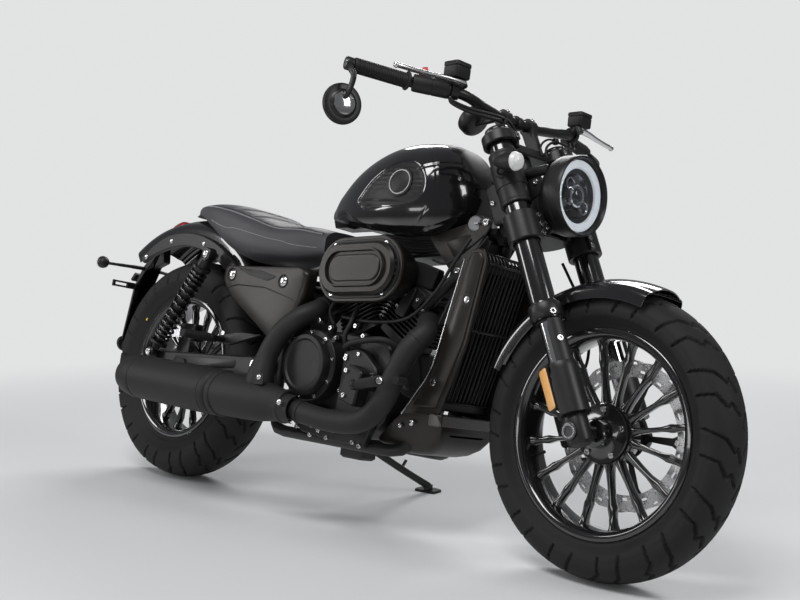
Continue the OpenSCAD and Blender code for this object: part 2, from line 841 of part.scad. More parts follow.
module plate_bracket() {
    color("#1a1a1b") in_bike() {
        side_plate([about_rear(rear_fender_r - sheet - 1, 121.5),
            about_rear(rear_fender_r - sheet - 1, 127.8), [-325, 612], [-362, 545], [-386, 380],
            [-386, 345], [-373, 345], [-372, 380], [-346, 545], [-310, 590],
            about_rear(rear_fender_r - 64, 125)], -13, 13);
        side_plate([[-362, 556], [-362, 534], [-354, 534], [-354, 556]], -92, 92);
        translate([-386, 0, 362]) rotate([0, 80, 0]) cylinder(r = 24, h = 10, center = true);
    }
}

front_sprocket = [470, 0, 345];
front_sprocket_r = 36;
chain_h = 9;

module chain_outline(extra) {
    hull() {
        translate([0, rear_tyre_r]) circle(r = sprocket_r + extra, $fn = 64);
        translate([front_sprocket.x, front_sprocket.z]) circle(r = front_sprocket_r + extra, $fn = 48);
    }
}

module drive_chain() {
    color("#3a3a3c") in_bike() translate([0, sprocket_y + 7, 0]) rotate([90, 0, 0])
        linear_extrude(14) difference() {
            chain_outline(1 + chain_h);
            chain_outline(1);
        }
}

pad_gap = 5.5;

module rear_caliper() {
    color("#1d1d1f") in_bike() difference() {
        union() {
            translate([40, -103, 390]) cube([70, 44, 50]);
            side_plate([[45, 430], [105, 430], [95, 335], [65, 315], [40, 335]],
                -arm_y + touch, -96);
        }
        translate([0, rear_disc_y - disc_thick / 2 - pad_gap, rear_tyre_r]) rotate([-90, 0, 0])
            cylinder(r = rear_disc_r + pad_gap, h = disc_thick + 2 * pad_gap);
    }
}

// ---------- side stand ----------

stand_pivot = [630, 135, 170];
// Directions of the leg, deployed and folded back along the bike
foot_world = [665, 352, 0];
function to_bike(w) = [w.x, w.y * cos(lean) - (w.z - lift) * sin(lean),
    w.y * sin(lean) + (w.z - lift) * cos(lean)];
function to_world(p) = [p.x, p.y * cos(lean) + p.z * sin(lean),
    -p.y * sin(lean) + p.z * cos(lean) + lift];
stand_leg = to_bike(foot_world + [0, 0, 16]) - stand_pivot;
stand_folded = [-230, 30, -10];
stand_axis = unit(cross(stand_leg, stand_folded));
stand_pin_r = 7;

module stand_bracket() {
    color("#1d1d1e") in_bike() {
        difference() {
            translate([590, 60, 140]) cube([80, 52, 50]);
            both_sides() bar([520, rail_y, rail_z], [900, rail_y, rail_z], 15 + touch);
        }
        translate(stand_pivot) facing(stand_axis) {
            translate([0, 0, -26]) cylinder(r = stand_pin_r, h = 52);
            translate([0, 0, -30]) cylinder(r = 17, h = 18);
            translate([0, 0, 12]) cylinder(r = 17, h = 8);
        }
    }
}

module side_stand() {
    color("#1a1a1b") in_bike() {
        difference() {
            union() {
                translate(stand_pivot) facing(stand_axis) translate([0, 0, -11])
                    cylinder(r = 17, h = 22);
                bar(stand_pivot, stand_pivot + stand_leg, 10);
            }
            translate(stand_pivot) facing(stand_axis) translate([0, 0, -50])
                cylinder(r = stand_pin_r + shaft_gap, h = 100);
        }
    }
    color("#1a1a1b") translate([-origin_x, -origin_y, 0]) {
        translate(foot_world) translate([-38, -18, 0]) cube([70, 46, 7]);
        translate(foot_world) cylinder(r = 13, h = 20);
    }
}

// ---------- fork ----------

// Where the handlebar sits in its clamps, in the fork frame
bar_seat = [27, 0, 1077];

module fork_clamps() {
    color("#1c1c1d") in_fork() {
        difference() {
            union() {
                for (c = [[lower_clamp_u, lower_clamp_h], [upper_clamp_u, upper_clamp_h]])
                    translate([0, 0, c[0] - c[1] / 2]) {
                        both_sides() translate([fork_offset, leg_y, 0])
                            cylinder(r = outer_tube_r + 11, h = c[1]);
                        translate([-26, -leg_y, c[1] - min(c[1], 34)])
                            cube([70, 2 * leg_y, min(c[1], 34)]);
                    }
                // Risers and the clamps round the handlebar
                both_sides() translate([bar_seat.x, 34, upper_clamp_u]) {
                    translate([-16, 0, 0]) cube([32, 22, bar_seat.z - upper_clamp_u]);
                    translate([0, 0, bar_seat.z - upper_clamp_u]) rotate([-90, 0, 0])
                        cylinder(r = 21, h = 22);
                }
            }
            translate([bar_seat.x, -100, bar_seat.z]) rotate([-90, 0, 0])
                cylinder(r = bar_r + touch, h = 200);
            both_sides() translate([fork_offset, leg_y, 0])
                cylinder(r = outer_tube_r + touch, h = 1200);
        }
        translate([0, 0, lower_clamp_u]) cylinder(r = stem_r, h = upper_clamp_u - lower_clamp_u);
    }
}

collar_low = 554;
tube_top = 1020;

module fork_tubes() {
    color("#0f0f10") in_fork() both_sides() translate([fork_offset, leg_y, 0]) difference() {
        union() {
            translate([0, 0, collar_low]) cylinder(r = outer_tube_r, h = tube_top - collar_low);
            translate([0, 0, collar_low]) cylinder(r = outer_tube_r + 4, h = 40);
        }
        translate([0, 0, collar_low - 1]) cylinder(r = inner_tube_r + shaft_gap, h = 200);
    }
}

module fork_sliders() {
    color("#2a2a2c") in_fork() difference() {
        both_sides() translate([fork_offset, leg_y, 0]) {
            translate([0, 0, axle_u]) cylinder(r = inner_tube_r, h = collar_low + 190 - axle_u);
            translate([0, 0, axle_u - 28]) cylinder(r = 27, h = 66);
            // Stone guard over the front of the leg
            intersection() {
                difference() {
                    translate([0, 0, axle_u + 34]) cylinder(r = 37, h = 110);
                    translate([0, 0, axle_u + 33]) cylinder(r = 31, h = 112);
                }
                translate([-6, -28, axle_u + 30]) cube([60, 70, 130]);
            }
            translate([0, 0, axle_u + 34]) cylinder(r = 32, h = 8);
        }
        translate([fork_offset, -200, axle_u]) rotate([-90, 0, 0])
            cylinder(r = axle_r + shaft_gap, h = 400);
    }
}

module fork_shrouds() {
    low = 827;
    high = 957;
    color("#262627") in_fork() both_sides() translate([fork_offset, leg_y, low]) difference() {
        cylinder(r = shroud_r + 3, h = high - low);
        translate([0, 0, -1]) cylinder(r = outer_tube_r + touch, h = high - low + 2);
    }
}

module front_axle() {
    color("#9a9c9f") in_fork() translate([fork_offset, 0, axle_u]) {
        across(0, 0, axle_r, -leg_y - 32, leg_y + 32);
        both_sides() {
            across(0, 0, 16, hub_half + 2, leg_y - 27 - touch);
            across(0, 0, 18, leg_y + 27 + touch, leg_y + 33);
        }
    }
}

front_fender_r = 322;
front_fender_half = 70;

module front_fender() {
    color("#0d0d0e") in_front_wheel() {
        rotate([90, 0, 0]) rotate([0, 0, 70]) rotate_extrude(angle = 88, $fn = 96)
            fender_section(front_fender_r, front_fender_half, 50, 110);
    }
    // Pads against the collars of the fork
    color("#0d0d0e") in_fork() both_sides()
        translate([fork_offset - 22, front_fender_half - sheet + 0.1, collar_low])
            cube([44, leg_y - outer_tube_r - 4 - touch - front_fender_half + sheet - 0.1, 46]);
}

module front_caliper() {
    color("#202022") in_fork() translate([fork_offset, 0, axle_u]) difference() {
        union() {
            translate([-158, 46, 20]) cube([50, 38, 90]);
            // Bracket onto the fork leg
            side_plate([[-150, 30], [-120, 100], [-24, 26], [-24, -12], [-100, 20]], 83, 92);
        }
        translate([0, front_disc_y - disc_thick / 2 - pad_gap, 0]) rotate([-90, 0, 0])
            cylinder(r = front_disc_r + pad_gap, h = disc_thick + 2 * pad_gap, $fn = 96);
    }
}

light_centre = neck + [140.9, 0, 60.8];

module headlight_shell() {
    color("#19191a") {
        in_steered() translate(light_centre) rotate([0, 90, 0]) difference() {
            union() {
                translate([0, 0, -36]) cylinder(r = headlight_r, h = 48);
                translate([0, 0, -76]) cylinder(r1 = 50, r2 = headlight_r - 2, h = 41);
            }
            translate([0, 0, -28]) cylinder(r = headlight_r - 8, h = 60);
        }
        // Bracket onto the lower clamp
        in_fork() translate([44 + touch, -30, lower_clamp_u + 6]) cube([17, 60, 20]);
    }
}

module headlight_lens() {
    color("#cfd2d6") in_steered() translate(light_centre) rotate([0, 90, 0]) {
        translate([0, 0, -27.7]) cylinder(r = headlight_r - 8 - touch, h = 34);
    }
}

// The handlebar's middle line, in the fork frame: bar end, grip, rise and the clamped middle
bar_end = [-61, bar_half, 1159];
grip_start = [-22, 290, 1132];
grip_d = unit(bar_end - grip_start);
bar_side = [grip_start, [36, 200, 1093], [32, 120, 1083], [28, 70, 1078], bar_seat + [0, 45, 0]];
function flip(v) = [v.x, -v.y, v.z];
handle_path = concat([flip(bar_end)],
    spline(concat([for (p = bar_side) flip(p)], [for (i = [4:-1:0]) bar_side[i]]), 4), [bar_end]);

module handlebar() {
    color("#161617") in_fork() tube(handle_path, bar_r, 12, [0, 0, 1]);
}

module grips() {
    color("#1b1b1c") in_fork() both_sides() difference() {
        bar(grip_start + grip_d * 2, bar_end + grip_d * 0.4, 17);
        bar(grip_start - grip_d * 10, bar_end + grip_d * 10, bar_r + touch);
    }
}

module hand_controls() {
    color("#242425") in_fork() difference() {
        both_sides() {
            // Switch housing on the bar, reservoir on its post, and the lever
            bar([28, 218, 1100], grip_start - grip_d * 9, 20);
            bar([34, 214, 1098], [62, 222, 1124], 11);
            translate([62, 224, 1128]) rotate([0, rake, 0]) cube([44, 48, 36], center = true);
            limb([62, 210, 1100], [34, 350, 1082], 6);
            limb([34, 350, 1082], [22, 392, 1078], 6);
        }
        tube(handle_path, bar_r + touch, 12, [0, 0, 1]);
    }
}

mirror_head = [-101, 429, 1081];
mirror_axis = [cos(rake) * cos(15), sin(15), -sin(rake) * cos(15)];

module mirrors() {
    color("#151516") in_fork() both_sides() {
        // Weight on the bar end, arm and head
        bar(bar_end + grip_d * 0.7, bar_end + grip_d * 18, 15);
        limb(bar_end + grip_d * 12, [-46, 438, 1116], 7);
        limb([-46, 438, 1116], [-86, 433, 1088], 6);
        bar(mirror_head - mirror_axis * 11, mirror_head + mirror_axis * 11, 45);
    }
}

// The bike's forward direction in the fork frame
ahead = [cos(rake), 0, -sin(rake)];
lamp = [90, 153, 901];

module front_indicators() {
    leg = [fork_offset, leg_y, lamp.z];
    out = unit(lamp - leg);
    color("#d8d9da") in_fork() both_sides() {
        bar(leg + out * (shroud_r + 3 + touch), lamp, 8);
        bar(lamp - ahead * 18, lamp + ahead * 26, 22);
        translate(lamp) rotate([0, 90 + rake, 0]) translate([0, 0, -52])
            cylinder(r1 = 7, r2 = 21, h = 35);
    }
}

instrument_pos = [-87, 0, 1150];

module instrument() {
    post = unit(instrument_pos - bar_seat);
    color("#121213") in_fork() {
        translate(instrument_pos) rotate([0, -rake, 0]) cylinder(r = 38, h = 30);
        bar(bar_seat + post * (bar_r + 2 * touch), instrument_pos + [8, 0, 8], 7);
    }
}

module control_cables() {
    color("#131314") in_fork() {
        tube(spline([[23.8, -224, 1081], [26, -222, 1066], [40, -190, 1046], [52, -140, 1038],
            [56, -95, 1034], [52, -66, 1018], [48.4, -56, 1000], [48.4, -56, 984]], 4),
            4, 8, [1, 0, 0]);
    }
}

// ---------- placement ----------

frame();
steering_head();
swingarm();
crankcase();
engine_covers();
front_cylinder();
rear_cylinder();
air_cleaner();
fuel_tank();
seat();
rear_fender();
fender_rails();
side_covers();
battery_box();
rear_shocks();
shock_springs();
exhaust_headers();
muffler();
radiator();
radiator_cowl();
foot_controls();
passenger_pegs();
rear_lights();
plate_bracket();
drive_chain();
rear_axle();
rear_caliper();
stand_bracket();
side_stand();
fork_clamps();
fork_tubes();
fork_sliders();
fork_shrouds();
front_axle();
front_fender();
front_caliper();
headlight_shell();
headlight_lens();
handlebar();
grips();
hand_controls();
mirrors();
front_indicators();
instrument();
control_cables();
front_tyre();
front_rim();
front_disc();
rear_tyre();
rear_rim();
rear_disc();
rear_sprocket();
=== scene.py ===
"""Cruiser motorcycle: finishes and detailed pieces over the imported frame."""
import bpy, bmesh, math
from math import cos, sin, pi, radians, sqrt, atan2
from mathutils import Matrix, Vector


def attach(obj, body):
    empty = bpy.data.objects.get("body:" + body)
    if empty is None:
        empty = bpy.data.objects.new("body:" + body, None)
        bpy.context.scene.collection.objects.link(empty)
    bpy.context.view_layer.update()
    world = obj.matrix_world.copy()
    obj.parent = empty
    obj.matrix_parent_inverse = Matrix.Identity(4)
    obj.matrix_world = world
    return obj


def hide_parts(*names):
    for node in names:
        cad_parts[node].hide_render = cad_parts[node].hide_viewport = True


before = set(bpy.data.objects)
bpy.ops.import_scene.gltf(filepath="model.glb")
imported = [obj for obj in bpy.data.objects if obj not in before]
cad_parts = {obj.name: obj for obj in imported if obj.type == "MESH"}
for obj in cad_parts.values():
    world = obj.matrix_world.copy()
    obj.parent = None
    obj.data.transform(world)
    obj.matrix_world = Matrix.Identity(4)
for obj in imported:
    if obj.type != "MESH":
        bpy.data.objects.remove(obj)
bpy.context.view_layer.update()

# ---------------------------------------------------------------- frames, as in the CAD
WHEELBASE, LEAN, RAKE, OFFSET, STEER = 1420.0, radians(11.5), radians(25.8), 40.5, radians(-3.5)
FRONT_R, FRONT_W, FRONT_RIM, REAR_R, REAR_W, REAR_RIM = 300.0, 120.0, 217.0, 315.0, 150.0, 206.0
FRONT_CROWN, REAR_CROWN, LEG_Y = 75.0, 105.0, 106.0
ORIGIN_X, ORIGIN_Y = 662.0, 188.0
LIFT = REAR_CROWN * (1 - cos(LEAN))
_tilt = -cos(STEER) * sin(LEAN) - sin(STEER) * sin(RAKE) * cos(LEAN)
_drop = (FRONT_R - FRONT_CROWN) * sqrt(1 - _tilt ** 2) + FRONT_CROWN
AXLE_U = ((OFFSET * sin(STEER) * sin(LEAN) + _drop - LIFT) / cos(LEAN)
          - OFFSET * cos(STEER) * sin(RAKE)) / cos(RAKE)
STEER_X = WHEELBASE - OFFSET * cos(RAKE) + AXLE_U * sin(RAKE)
# Directions: ahead, left, right and up
AHEAD, LEFT, RIGHT, UP = (1, 0, 0), (0, 1, 0), (0, -1, 0), (0, 0, 1)
CENTRE = (0, 0, 0)


def T(x, y, z):
    return Matrix.Translation((x, y, z))


def R(angle, axis):
    return Matrix.Rotation(angle, 4, axis)


ROW = Matrix.Scale(0.001, 4) @ T(-ORIGIN_X, -ORIGIN_Y, 0)
BIKE = Matrix.Scale(0.001, 4) @ T(-ORIGIN_X, -ORIGIN_Y, LIFT) @ R(-LEAN, 'X')
FORK = BIKE @ T(STEER_X, 0, 0) @ R(-RAKE, 'Y') @ R(STEER, 'Z')
STEERED = FORK @ R(RAKE, 'Y') @ T(-STEER_X, 0, 0)
FRONT_WHEEL = FORK @ T(OFFSET, 0, AXLE_U) @ R(RAKE, 'Y')
REAR_WHEEL = BIKE @ T(0, 0, REAR_R)
FLIP = Matrix.Scale(-1, 4, (0, 1, 0))


def on_axis(u, f=0.0):
    """A point u up the steering axis, and f behind it."""
    return Vector((STEER_X - u * sin(RAKE) - f * cos(RAKE), 0, u * cos(RAKE) - f * sin(RAKE)))


# ---------------------------------------------------------------- materials
def node(nt, kind, **inputs):
    """A shader node with some of its inputs set; an underscore stands for a space."""
    n = nt.nodes.new("ShaderNode" + kind)
    for key, value in inputs.items():
        n.inputs[key.replace("_", " ")].default_value = value
    return n


def material(name, color, rough, metal=0.0, coat=0.0, coat_rough=0.05, noise=None, bump=None,
             spec=0.5, sheen=0.0, trans=0.0, ior=1.5, rough_var=0.0, emit=0.0):
    """noise = (scale, amount) varies the colour; bump = (scale, strength, distance)."""
    m = bpy.data.materials.new(name)
    m.use_nodes = True
    nt = m.node_tree
    link = nt.links.new
    b = nt.nodes["Principled BSDF"]
    for key, value in (("Base Color", (*color, 1)), ("Roughness", rough), ("Metallic", metal),
                       ("Coat Weight", coat), ("Coat Roughness", coat_rough),
                       ("Specular IOR Level", spec), ("Sheen Weight", sheen),
                       ("Transmission Weight", trans), ("IOR", ior)):
        b.inputs[key].default_value = value
    if emit:
        b.inputs["Emission Color"].default_value = (*color, 1)
        b.inputs["Emission Strength"].default_value = emit
    tc = nt.nodes.new("ShaderNodeTexCoord")
    if noise:
        scale, amount = noise
        n = node(nt, "TexNoise", Scale=scale, Detail=6)
        link(tc.outputs["Object"], n.inputs["Vector"])
        mix = node(nt, "Mix")
        mix.data_type = 'RGBA'
        mix.inputs[6].default_value = (*[c * (1 - amount) for c in color], 1)
        mix.inputs[7].default_value = (*[min(1, c * (1 + amount) + amount * 0.01) for c in color], 1)
        link(n.outputs["Fac"], mix.inputs[0])
        link(mix.outputs[2], b.inputs["Base Color"])
        if rough_var:
            mr = node(nt, "MapRange", To_Min=max(0, rough - rough_var),
                      To_Max=min(1, rough + rough_var))
            link(n.outputs["Fac"], mr.inputs[0])
            link(mr.outputs[0], b.inputs["Roughness"])
    if bump:
        scale, strength, distance = bump
        grain = node(nt, "TexNoise", Scale=scale, Detail=4)
        link(tc.outputs["Object"], grain.inputs["Vector"])
        bp = node(nt, "Bump", Strength=strength, Distance=distance)
        link(grain.outputs["Fac"], bp.inputs["Height"])
        link(bp.outputs["Normal"], b.inputs["Normal"])
    return m


def leather(name, color):
    """Grained vinyl: cells for the grain, with a slow change of tone."""
    m = material(name, color, 0.48, spec=0.4, noise=(9, 0.16), rough_var=0.07, sheen=0.08)
    nt = m.node_tree
    link = nt.links.new
    b = nt.nodes["Principled BSDF"]
    tc = next(n for n in nt.nodes if n.type == 'TEX_COORD')
    v = node(nt, "TexVoronoi", Scale=420)
    v.feature = 'DISTANCE_TO_EDGE'
    n = node(nt, "TexNoise", Scale=160)
    add = node(nt, "Math")
    add.operation = 'MULTIPLY_ADD'
    link(tc.outputs["Object"], v.inputs["Vector"])
    link(tc.outputs["Object"], n.inputs["Vector"])
    link(v.outputs["Distance"], add.inputs[0])
    add.inputs[1].default_value = 1.5
    link(n.outputs["Fac"], add.inputs[2])
    bp = node(nt, "Bump", Strength=0.35, Distance=0.0006)
    link(add.outputs[0], bp.inputs["Height"])
    link(bp.outputs["Normal"], b.inputs["Normal"])
    return m


M = {
    "gloss": material("gloss_black_paint", (0.006, 0.006, 0.007), 0.16, coat=1.0, coat_rough=0.02,
                      noise=(3, 0.3), bump=(30, 0.02, 0.001)),
    "satin": material("satin_black_paint", (0.0085, 0.0085, 0.009), 0.4, spec=0.4, noise=(14, 0.3),
                      bump=(600, 0.08, 0.0005), rough_var=0.06),
    "engine": material("engine_black_paint", (0.009, 0.009, 0.0095), 0.48, spec=0.38, noise=(18, 0.35),
                       bump=(900, 0.35, 0.0006), rough_var=0.08),
    "exhaust": material("heat_black_paint", (0.0125, 0.0121, 0.0118), 0.58, spec=0.32, noise=(12, 0.35),
                        bump=(1100, 0.2, 0.0004), rough_var=0.09),
    "warm": material("warm_black_moulding", (0.0165, 0.0138, 0.0117), 0.34, metal=0.3, spec=0.4,
                     noise=(16, 0.22), bump=(1300, 0.22, 0.0004), rough_var=0.06),
    "plastic": material("black_moulding", (0.0095, 0.0095, 0.01), 0.46, spec=0.36, noise=(20, 0.25),
                        bump=(1500, 0.3, 0.0004), rough_var=0.07),
    "leather": leather("seat_leather", (0.034, 0.034, 0.039)),
    "leather_side": leather("seat_side_leather", (0.045, 0.045, 0.051)),
    "thread": material("seat_thread", (0.34, 0.34, 0.36), 0.6, noise=(500, 0.3)),
    "rubber": material("grip_rubber", (0.009, 0.009, 0.0095), 0.6, spec=0.35, noise=(40, 0.25),
                       bump=(800, 0.3, 0.0005)),
    "tyre": material("tyre_rubber", (0.0105, 0.0105, 0.011), 0.7, spec=0.28, noise=(25, 0.35),
                     bump=(700, 0.25, 0.0006), rough_var=0.1),
    "steel": material("bright_steel", (0.62, 0.62, 0.63), 0.22, metal=1.0, noise=(60, 0.12),
                      rough_var=0.06),
    "disc": material("disc_steel", (0.62, 0.62, 0.63), 0.28, metal=1.0, noise=(120, 0.2),
                     rough_var=0.08),
    "dark_steel": material("dark_steel", (0.1, 0.1, 0.105), 0.35, metal=1.0, noise=(60, 0.25),
                           rough_var=0.08),
    "chrome": material("chrome_tube", (0.72, 0.72, 0.73), 0.09, metal=1.0, noise=(30, 0.06)),
    "alu": material("cast_aluminium", (0.33, 0.33, 0.34), 0.4, metal=1.0, noise=(40, 0.2),
                    bump=(500, 0.2, 0.0005), rough_var=0.08),
    "mirror": material("mirror_glass", (0.85, 0.87, 0.9), 0.02, metal=1.0, noise=(5, 0.02)),
    "glass": material("clear_glass", (0.95, 0.97, 1.0), 0.03, trans=1.0, ior=1.45,
                      noise=(5, 0.01)),
    "lens": material("clear_lens", (0.95, 0.95, 0.95), 0.12, trans=0.4, emit=0.08, ior=1.45,
                     noise=(40, 0.06), bump=(160, 0.6, 0.002)),
    "dark_glass": material("dark_glass", (0.01, 0.011, 0.013), 0.06, coat=1.0, noise=(8, 0.3)),
    "halo": material("halo_ring", (0.8, 0.83, 0.86), 0.35, noise=(30, 0.05), emit=0.42),
    "reflector": material("lamp_reflector", (0.25, 0.25, 0.27), 0.18, metal=1.0, noise=(30, 0.2)),
    "red": material("red_lens", (0.32, 0.008, 0.008), 0.16, coat=0.7, trans=0.2,
                    noise=(40, 0.2), bump=(220, 0.5, 0.002)),
    "amber": material("amber_reflector", (0.88, 0.44, 0.14), 0.2, coat=0.6,
                      noise=(60, 0.2), bump=(300, 0.6, 0.002)),
    "yellow": material("yellow_paint_dot", (0.75, 0.55, 0.04), 0.5, noise=(200, 0.2)),
    "red_plastic": material("red_switch", (0.45, 0.015, 0.012), 0.35, noise=(60, 0.15)),
    # Pale grey for the belly scoop's front band: painted light on the face turned to the light
    "lip": material("front_band_painted_light", (0.085, 0.08, 0.076), 0.42, noise=(16, 0.15),
                    bump=(1300, 0.2, 0.0004)),
    "badge": material("badge_ring", (0.62, 0.63, 0.64), 0.25, metal=0.6, noise=(60, 0.1)),
    "core": material("radiator_core", (0.01, 0.01, 0.01), 0.45, noise=(30, 0.3),
                     bump=(400, 0.4, 0.001)),
}


# ---------------------------------------------------------------- mesh helpers
def finish_mesh(name, bm, matrix, body, mat, smooth=40, mirrored=False, bevel=0.0):
    """Turns a bmesh in mm into a piece on a body; mirrored adds its left/right copy."""
    bm.normal_update()
    if mirrored:
        both = bm.copy()
        bmesh.ops.transform(both, matrix=FLIP, verts=both.verts)
        bmesh.ops.reverse_faces(both, faces=both.faces)
        me2 = bpy.data.meshes.new("t")
        both.to_mesh(me2)
        bm.from_mesh(me2)
        bpy.data.meshes.remove(me2)
        both.free()
    me = bpy.data.meshes.new(name)
    bm.to_mesh(me)
    bm.free()
    me.transform(matrix)
    ob = bpy.data.objects.new(name, me)
    bpy.context.scene.collection.objects.link(ob)
    mats = mat if isinstance(mat, (list, tuple)) else [mat]
    for k in mats:
        me.materials.append(M[k])
    me.polygons.foreach_set("use_smooth", [True] * len(me.polygons))
    if bevel:
        md = ob.modifiers.new("bevel", 'BEVEL')
        md.width = bevel / 1000
        md.segments = 2
        md.limit_method = 'ANGLE'
        md.angle_limit = radians(35)
        md.harden_normals = True
    me.set_sharp_from_angle(angle=radians(smooth))
    if bevel:
        dg = bpy.context.evaluated_depsgraph_get()
        new = bpy.data.meshes.new_from_object(ob.evaluated_get(dg))
        ob.modifiers.clear()
        ob.data = new
        bpy.data.meshes.remove(me)
    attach(ob, body)
    return ob


def rings(bm, ring_list, close=True, caps=True, mat=0, loop=False):
    """Skins a list of rings of points."""
    vs = [[bm.verts.new(p) for p in r] for r in ring_list]
    m = len(ring_list[0])
    n = len(vs)
    for i in range(n if loop else n - 1):
        a, b = vs[i], vs[(i + 1) % n]
        for k in range(m if close else m - 1):
            q = (k + 1) % m
            f = bm.faces.new((a[k], a[q], b[q], b[k]))
            f.material_index = mat
    if caps and not loop and close:
        f = bm.faces.new(list(reversed(vs[0])))
        f.material_index = mat
        f = bm.faces.new(vs[-1])
        f.material_index = mat
    return vs


def spline(p, n):
    """A smooth curve through points, n steps between each pair."""
    p = [Vector(q) for q in p]
    out = []
    for i in range(len(p) - 1):
        a, b, c, d = p[max(i - 1, 0)], p[i], p[i + 1], p[min(i + 2, len(p) - 1)]
        for j in range(n):
            t = j / n
            out.append(0.5 * (2 * b + (c - a) * t + (2 * a - 5 * b + 4 * c - d) * t * t
                              + (3 * b - a - 3 * c + d) * t * t * t))
    out.append(p[-1])
    return out


def along(v, t):
    """The value at t, from 0 to 1, of a smooth curve through evenly spaced values."""
    s = t * (len(v) - 1)
    i = min(int(s), len(v) - 2)
    f = s - i
    a, b, c, d = v[max(i - 1, 0)], v[i], v[i + 1], v[min(i + 2, len(v) - 1)]
    return 0.5 * (2 * b + (c - a) * f + (2 * a - 5 * b + 4 * c - d) * f * f
                  + (3 * b - a - 3 * c + d) * f ** 3)


def tube(bm, path, r, sides=20, mat=0):
    """A round tube along a path, with a frame carried along without twist."""
    path = [Vector(p) for p in path]
    n = len(path)
    rs = r if isinstance(r, (list, tuple)) else [r] * n
    t = [(path[min(i + 1, n - 1)] - path[max(i - 1, 0)]).normalized() for i in range(n)]
    ref = Vector(UP) if abs(t[0].z) < 0.9 else Vector(AHEAD)
    u = t[0].cross(ref).normalized()
    out = []
    for i in range(n):
        u = (u - t[i] * u.dot(t[i])).normalized()
        w = t[i].cross(u)
        out.append([path[i] + rs[i] * (u * cos(turn(k, sides)) + w * sin(turn(k, sides)))
                    for k in range(sides)])
    rings(bm, out, mat=mat)


def turn(k, n):
    """The angle of step k of n round a full turn."""
    return 2 * pi * k / n


def basis(d):
    """Two unit vectors across the direction d, and d itself."""
    d = Vector(d).normalized()
    ref = Vector(UP) if abs(d.z) < 0.9 else Vector(AHEAD)
    u = ref.cross(d).normalized()
    return u, d.cross(u), d


def lathe(bm, profile, origin=CENTRE, axis=UP, sides=48, mat=0, loop=False):
    """Turns [radius, height] points about an axis. mat may be a list, one per band."""
    u, w, d = basis(axis)
    o = Vector(origin)
    vs = []
    for r, h in profile:
        if r < 1e-6:
            vs.append([bm.verts.new(o + d * h)])
        else:
            vs.append([bm.verts.new(o + d * h + r * (u * cos(turn(k, sides))
                                                     + w * sin(turn(k, sides))))
                       for k in range(sides)])
    n = len(vs)
    for i in range(n if loop else n - 1):
        a, b = vs[i], vs[(i + 1) % n]
        mi = mat[i] if isinstance(mat, (list, tuple)) else mat
        for k in range(sides):
            q = (k + 1) % sides
            if len(a) == 1 and len(b) == 1:
                continue
            if len(a) == 1:
                f = bm.faces.new((a[0], b[q], b[k]))
            elif len(b) == 1:
                f = bm.faces.new((a[k], a[q], b[0]))
            else:
                f = bm.faces.new((a[k], a[q], b[q], b[k]))
            f.material_index = mi
    return vs


def rod(bm, a, b, r, sides=24, edge=1.0, mat=0):
    """A round bar with chamfered ends."""
    a, b = Vector(a), Vector(b)
    h = (b - a).length
    e = min(edge, r * 0.4, h * 0.4)
    lathe(bm, [(0, 0), (r - e, 0), (r, e), (r, h - e), (r - e, h), (0, h)], a, b - a, sides, mat)


def ball(bm, c, r, sides=20, mat=0):
    """A ball of radius r about c."""
    n = max(6, sides // 2)
    lathe(bm, [(r * sin(pi * i / n), -r * cos(pi * i / n)) for i in range(n + 1)],
          c, UP, sides, mat)


def slab(bm, outline, y0, y1, mat=0, edge=1.5, plane='XZ'):
    """A plate from a closed outline, with a chamfered rim. Outline [x, z], from y0 to y1."""
    pts = [Vector(p) for p in outline]
    n = len(pts)
    area = sum(pts[i].x * pts[(i + 1) % n].y - pts[(i + 1) % n].x * pts[i].y for i in range(n))
    if area < 0:
        pts.reverse()
    inner = []
    for i in range(n):
        a, b, c = pts[i - 1], pts[i], pts[(i + 1) % n]
        d1, d2 = (b - a).normalized(), (c - b).normalized()
        nrm = Vector((-d1.y - d2.y, d1.x + d2.x))
        L = nrm.length
        nrm = nrm / L if L > 1e-6 else Vector((-d1.y, d1.x))
        k = max(0.35, nrm.dot(Vector((-d1.y, d1.x))))
        inner.append(b + nrm * (edge / k))

    def at(p, y):
        if plane == 'XZ':
            return (p.x, y, p.y)
        if plane == 'XY':
            return (p.x, p.y, y)
        return (y, p.x, p.y)
    lo, hi = min(y0, y1), max(y0, y1)
    e = min(edge, (hi - lo) * 0.4)
    rr = [[at(p, lo) for p in inner], [at(p, lo + e) for p in pts],
          [at(p, hi - e) for p in pts], [at(p, hi) for p in inner]]
    if plane == 'XZ':
        rr = [list(reversed(r)) for r in rr]
    return rings(bm, rr, mat=mat)


def box(bm, lo, hi, edge=2.0, mat=0, m=None):
    """A box with chamfered edges, between two corners; m then moves it."""
    before = len(bm.verts)
    slab(bm, [(lo[0], lo[1]), (hi[0], lo[1]), (hi[0], hi[1]), (lo[0], hi[1])], lo[2], hi[2],
         mat, edge, 'XY')
    if m is not None:
        bm.verts.ensure_lookup_table()
        bmesh.ops.transform(bm, matrix=m, verts=bm.verts[before:])


def rounded(outline, r, n=4):
    """Rounds the corners of an outline of [x, z] points."""
    pts = [Vector(p) for p in outline]
    out = []
    m = len(pts)
    for i in range(m):
        a, b, c = pts[i - 1], pts[i], pts[(i + 1) % m]
        rr = r[i] if isinstance(r, (list, tuple)) else r
        k1 = min(rr, (a - b).length * 0.45)
        k2 = min(rr, (c - b).length * 0.45)
        p, q = b + (a - b).normalized() * k1, b + (c - b).normalized() * k2
        for j in range(n + 1):
            t = j / n
            out.append((1 - t) ** 2 * p + 2 * t * (1 - t) * b + t * t * q)
    return out


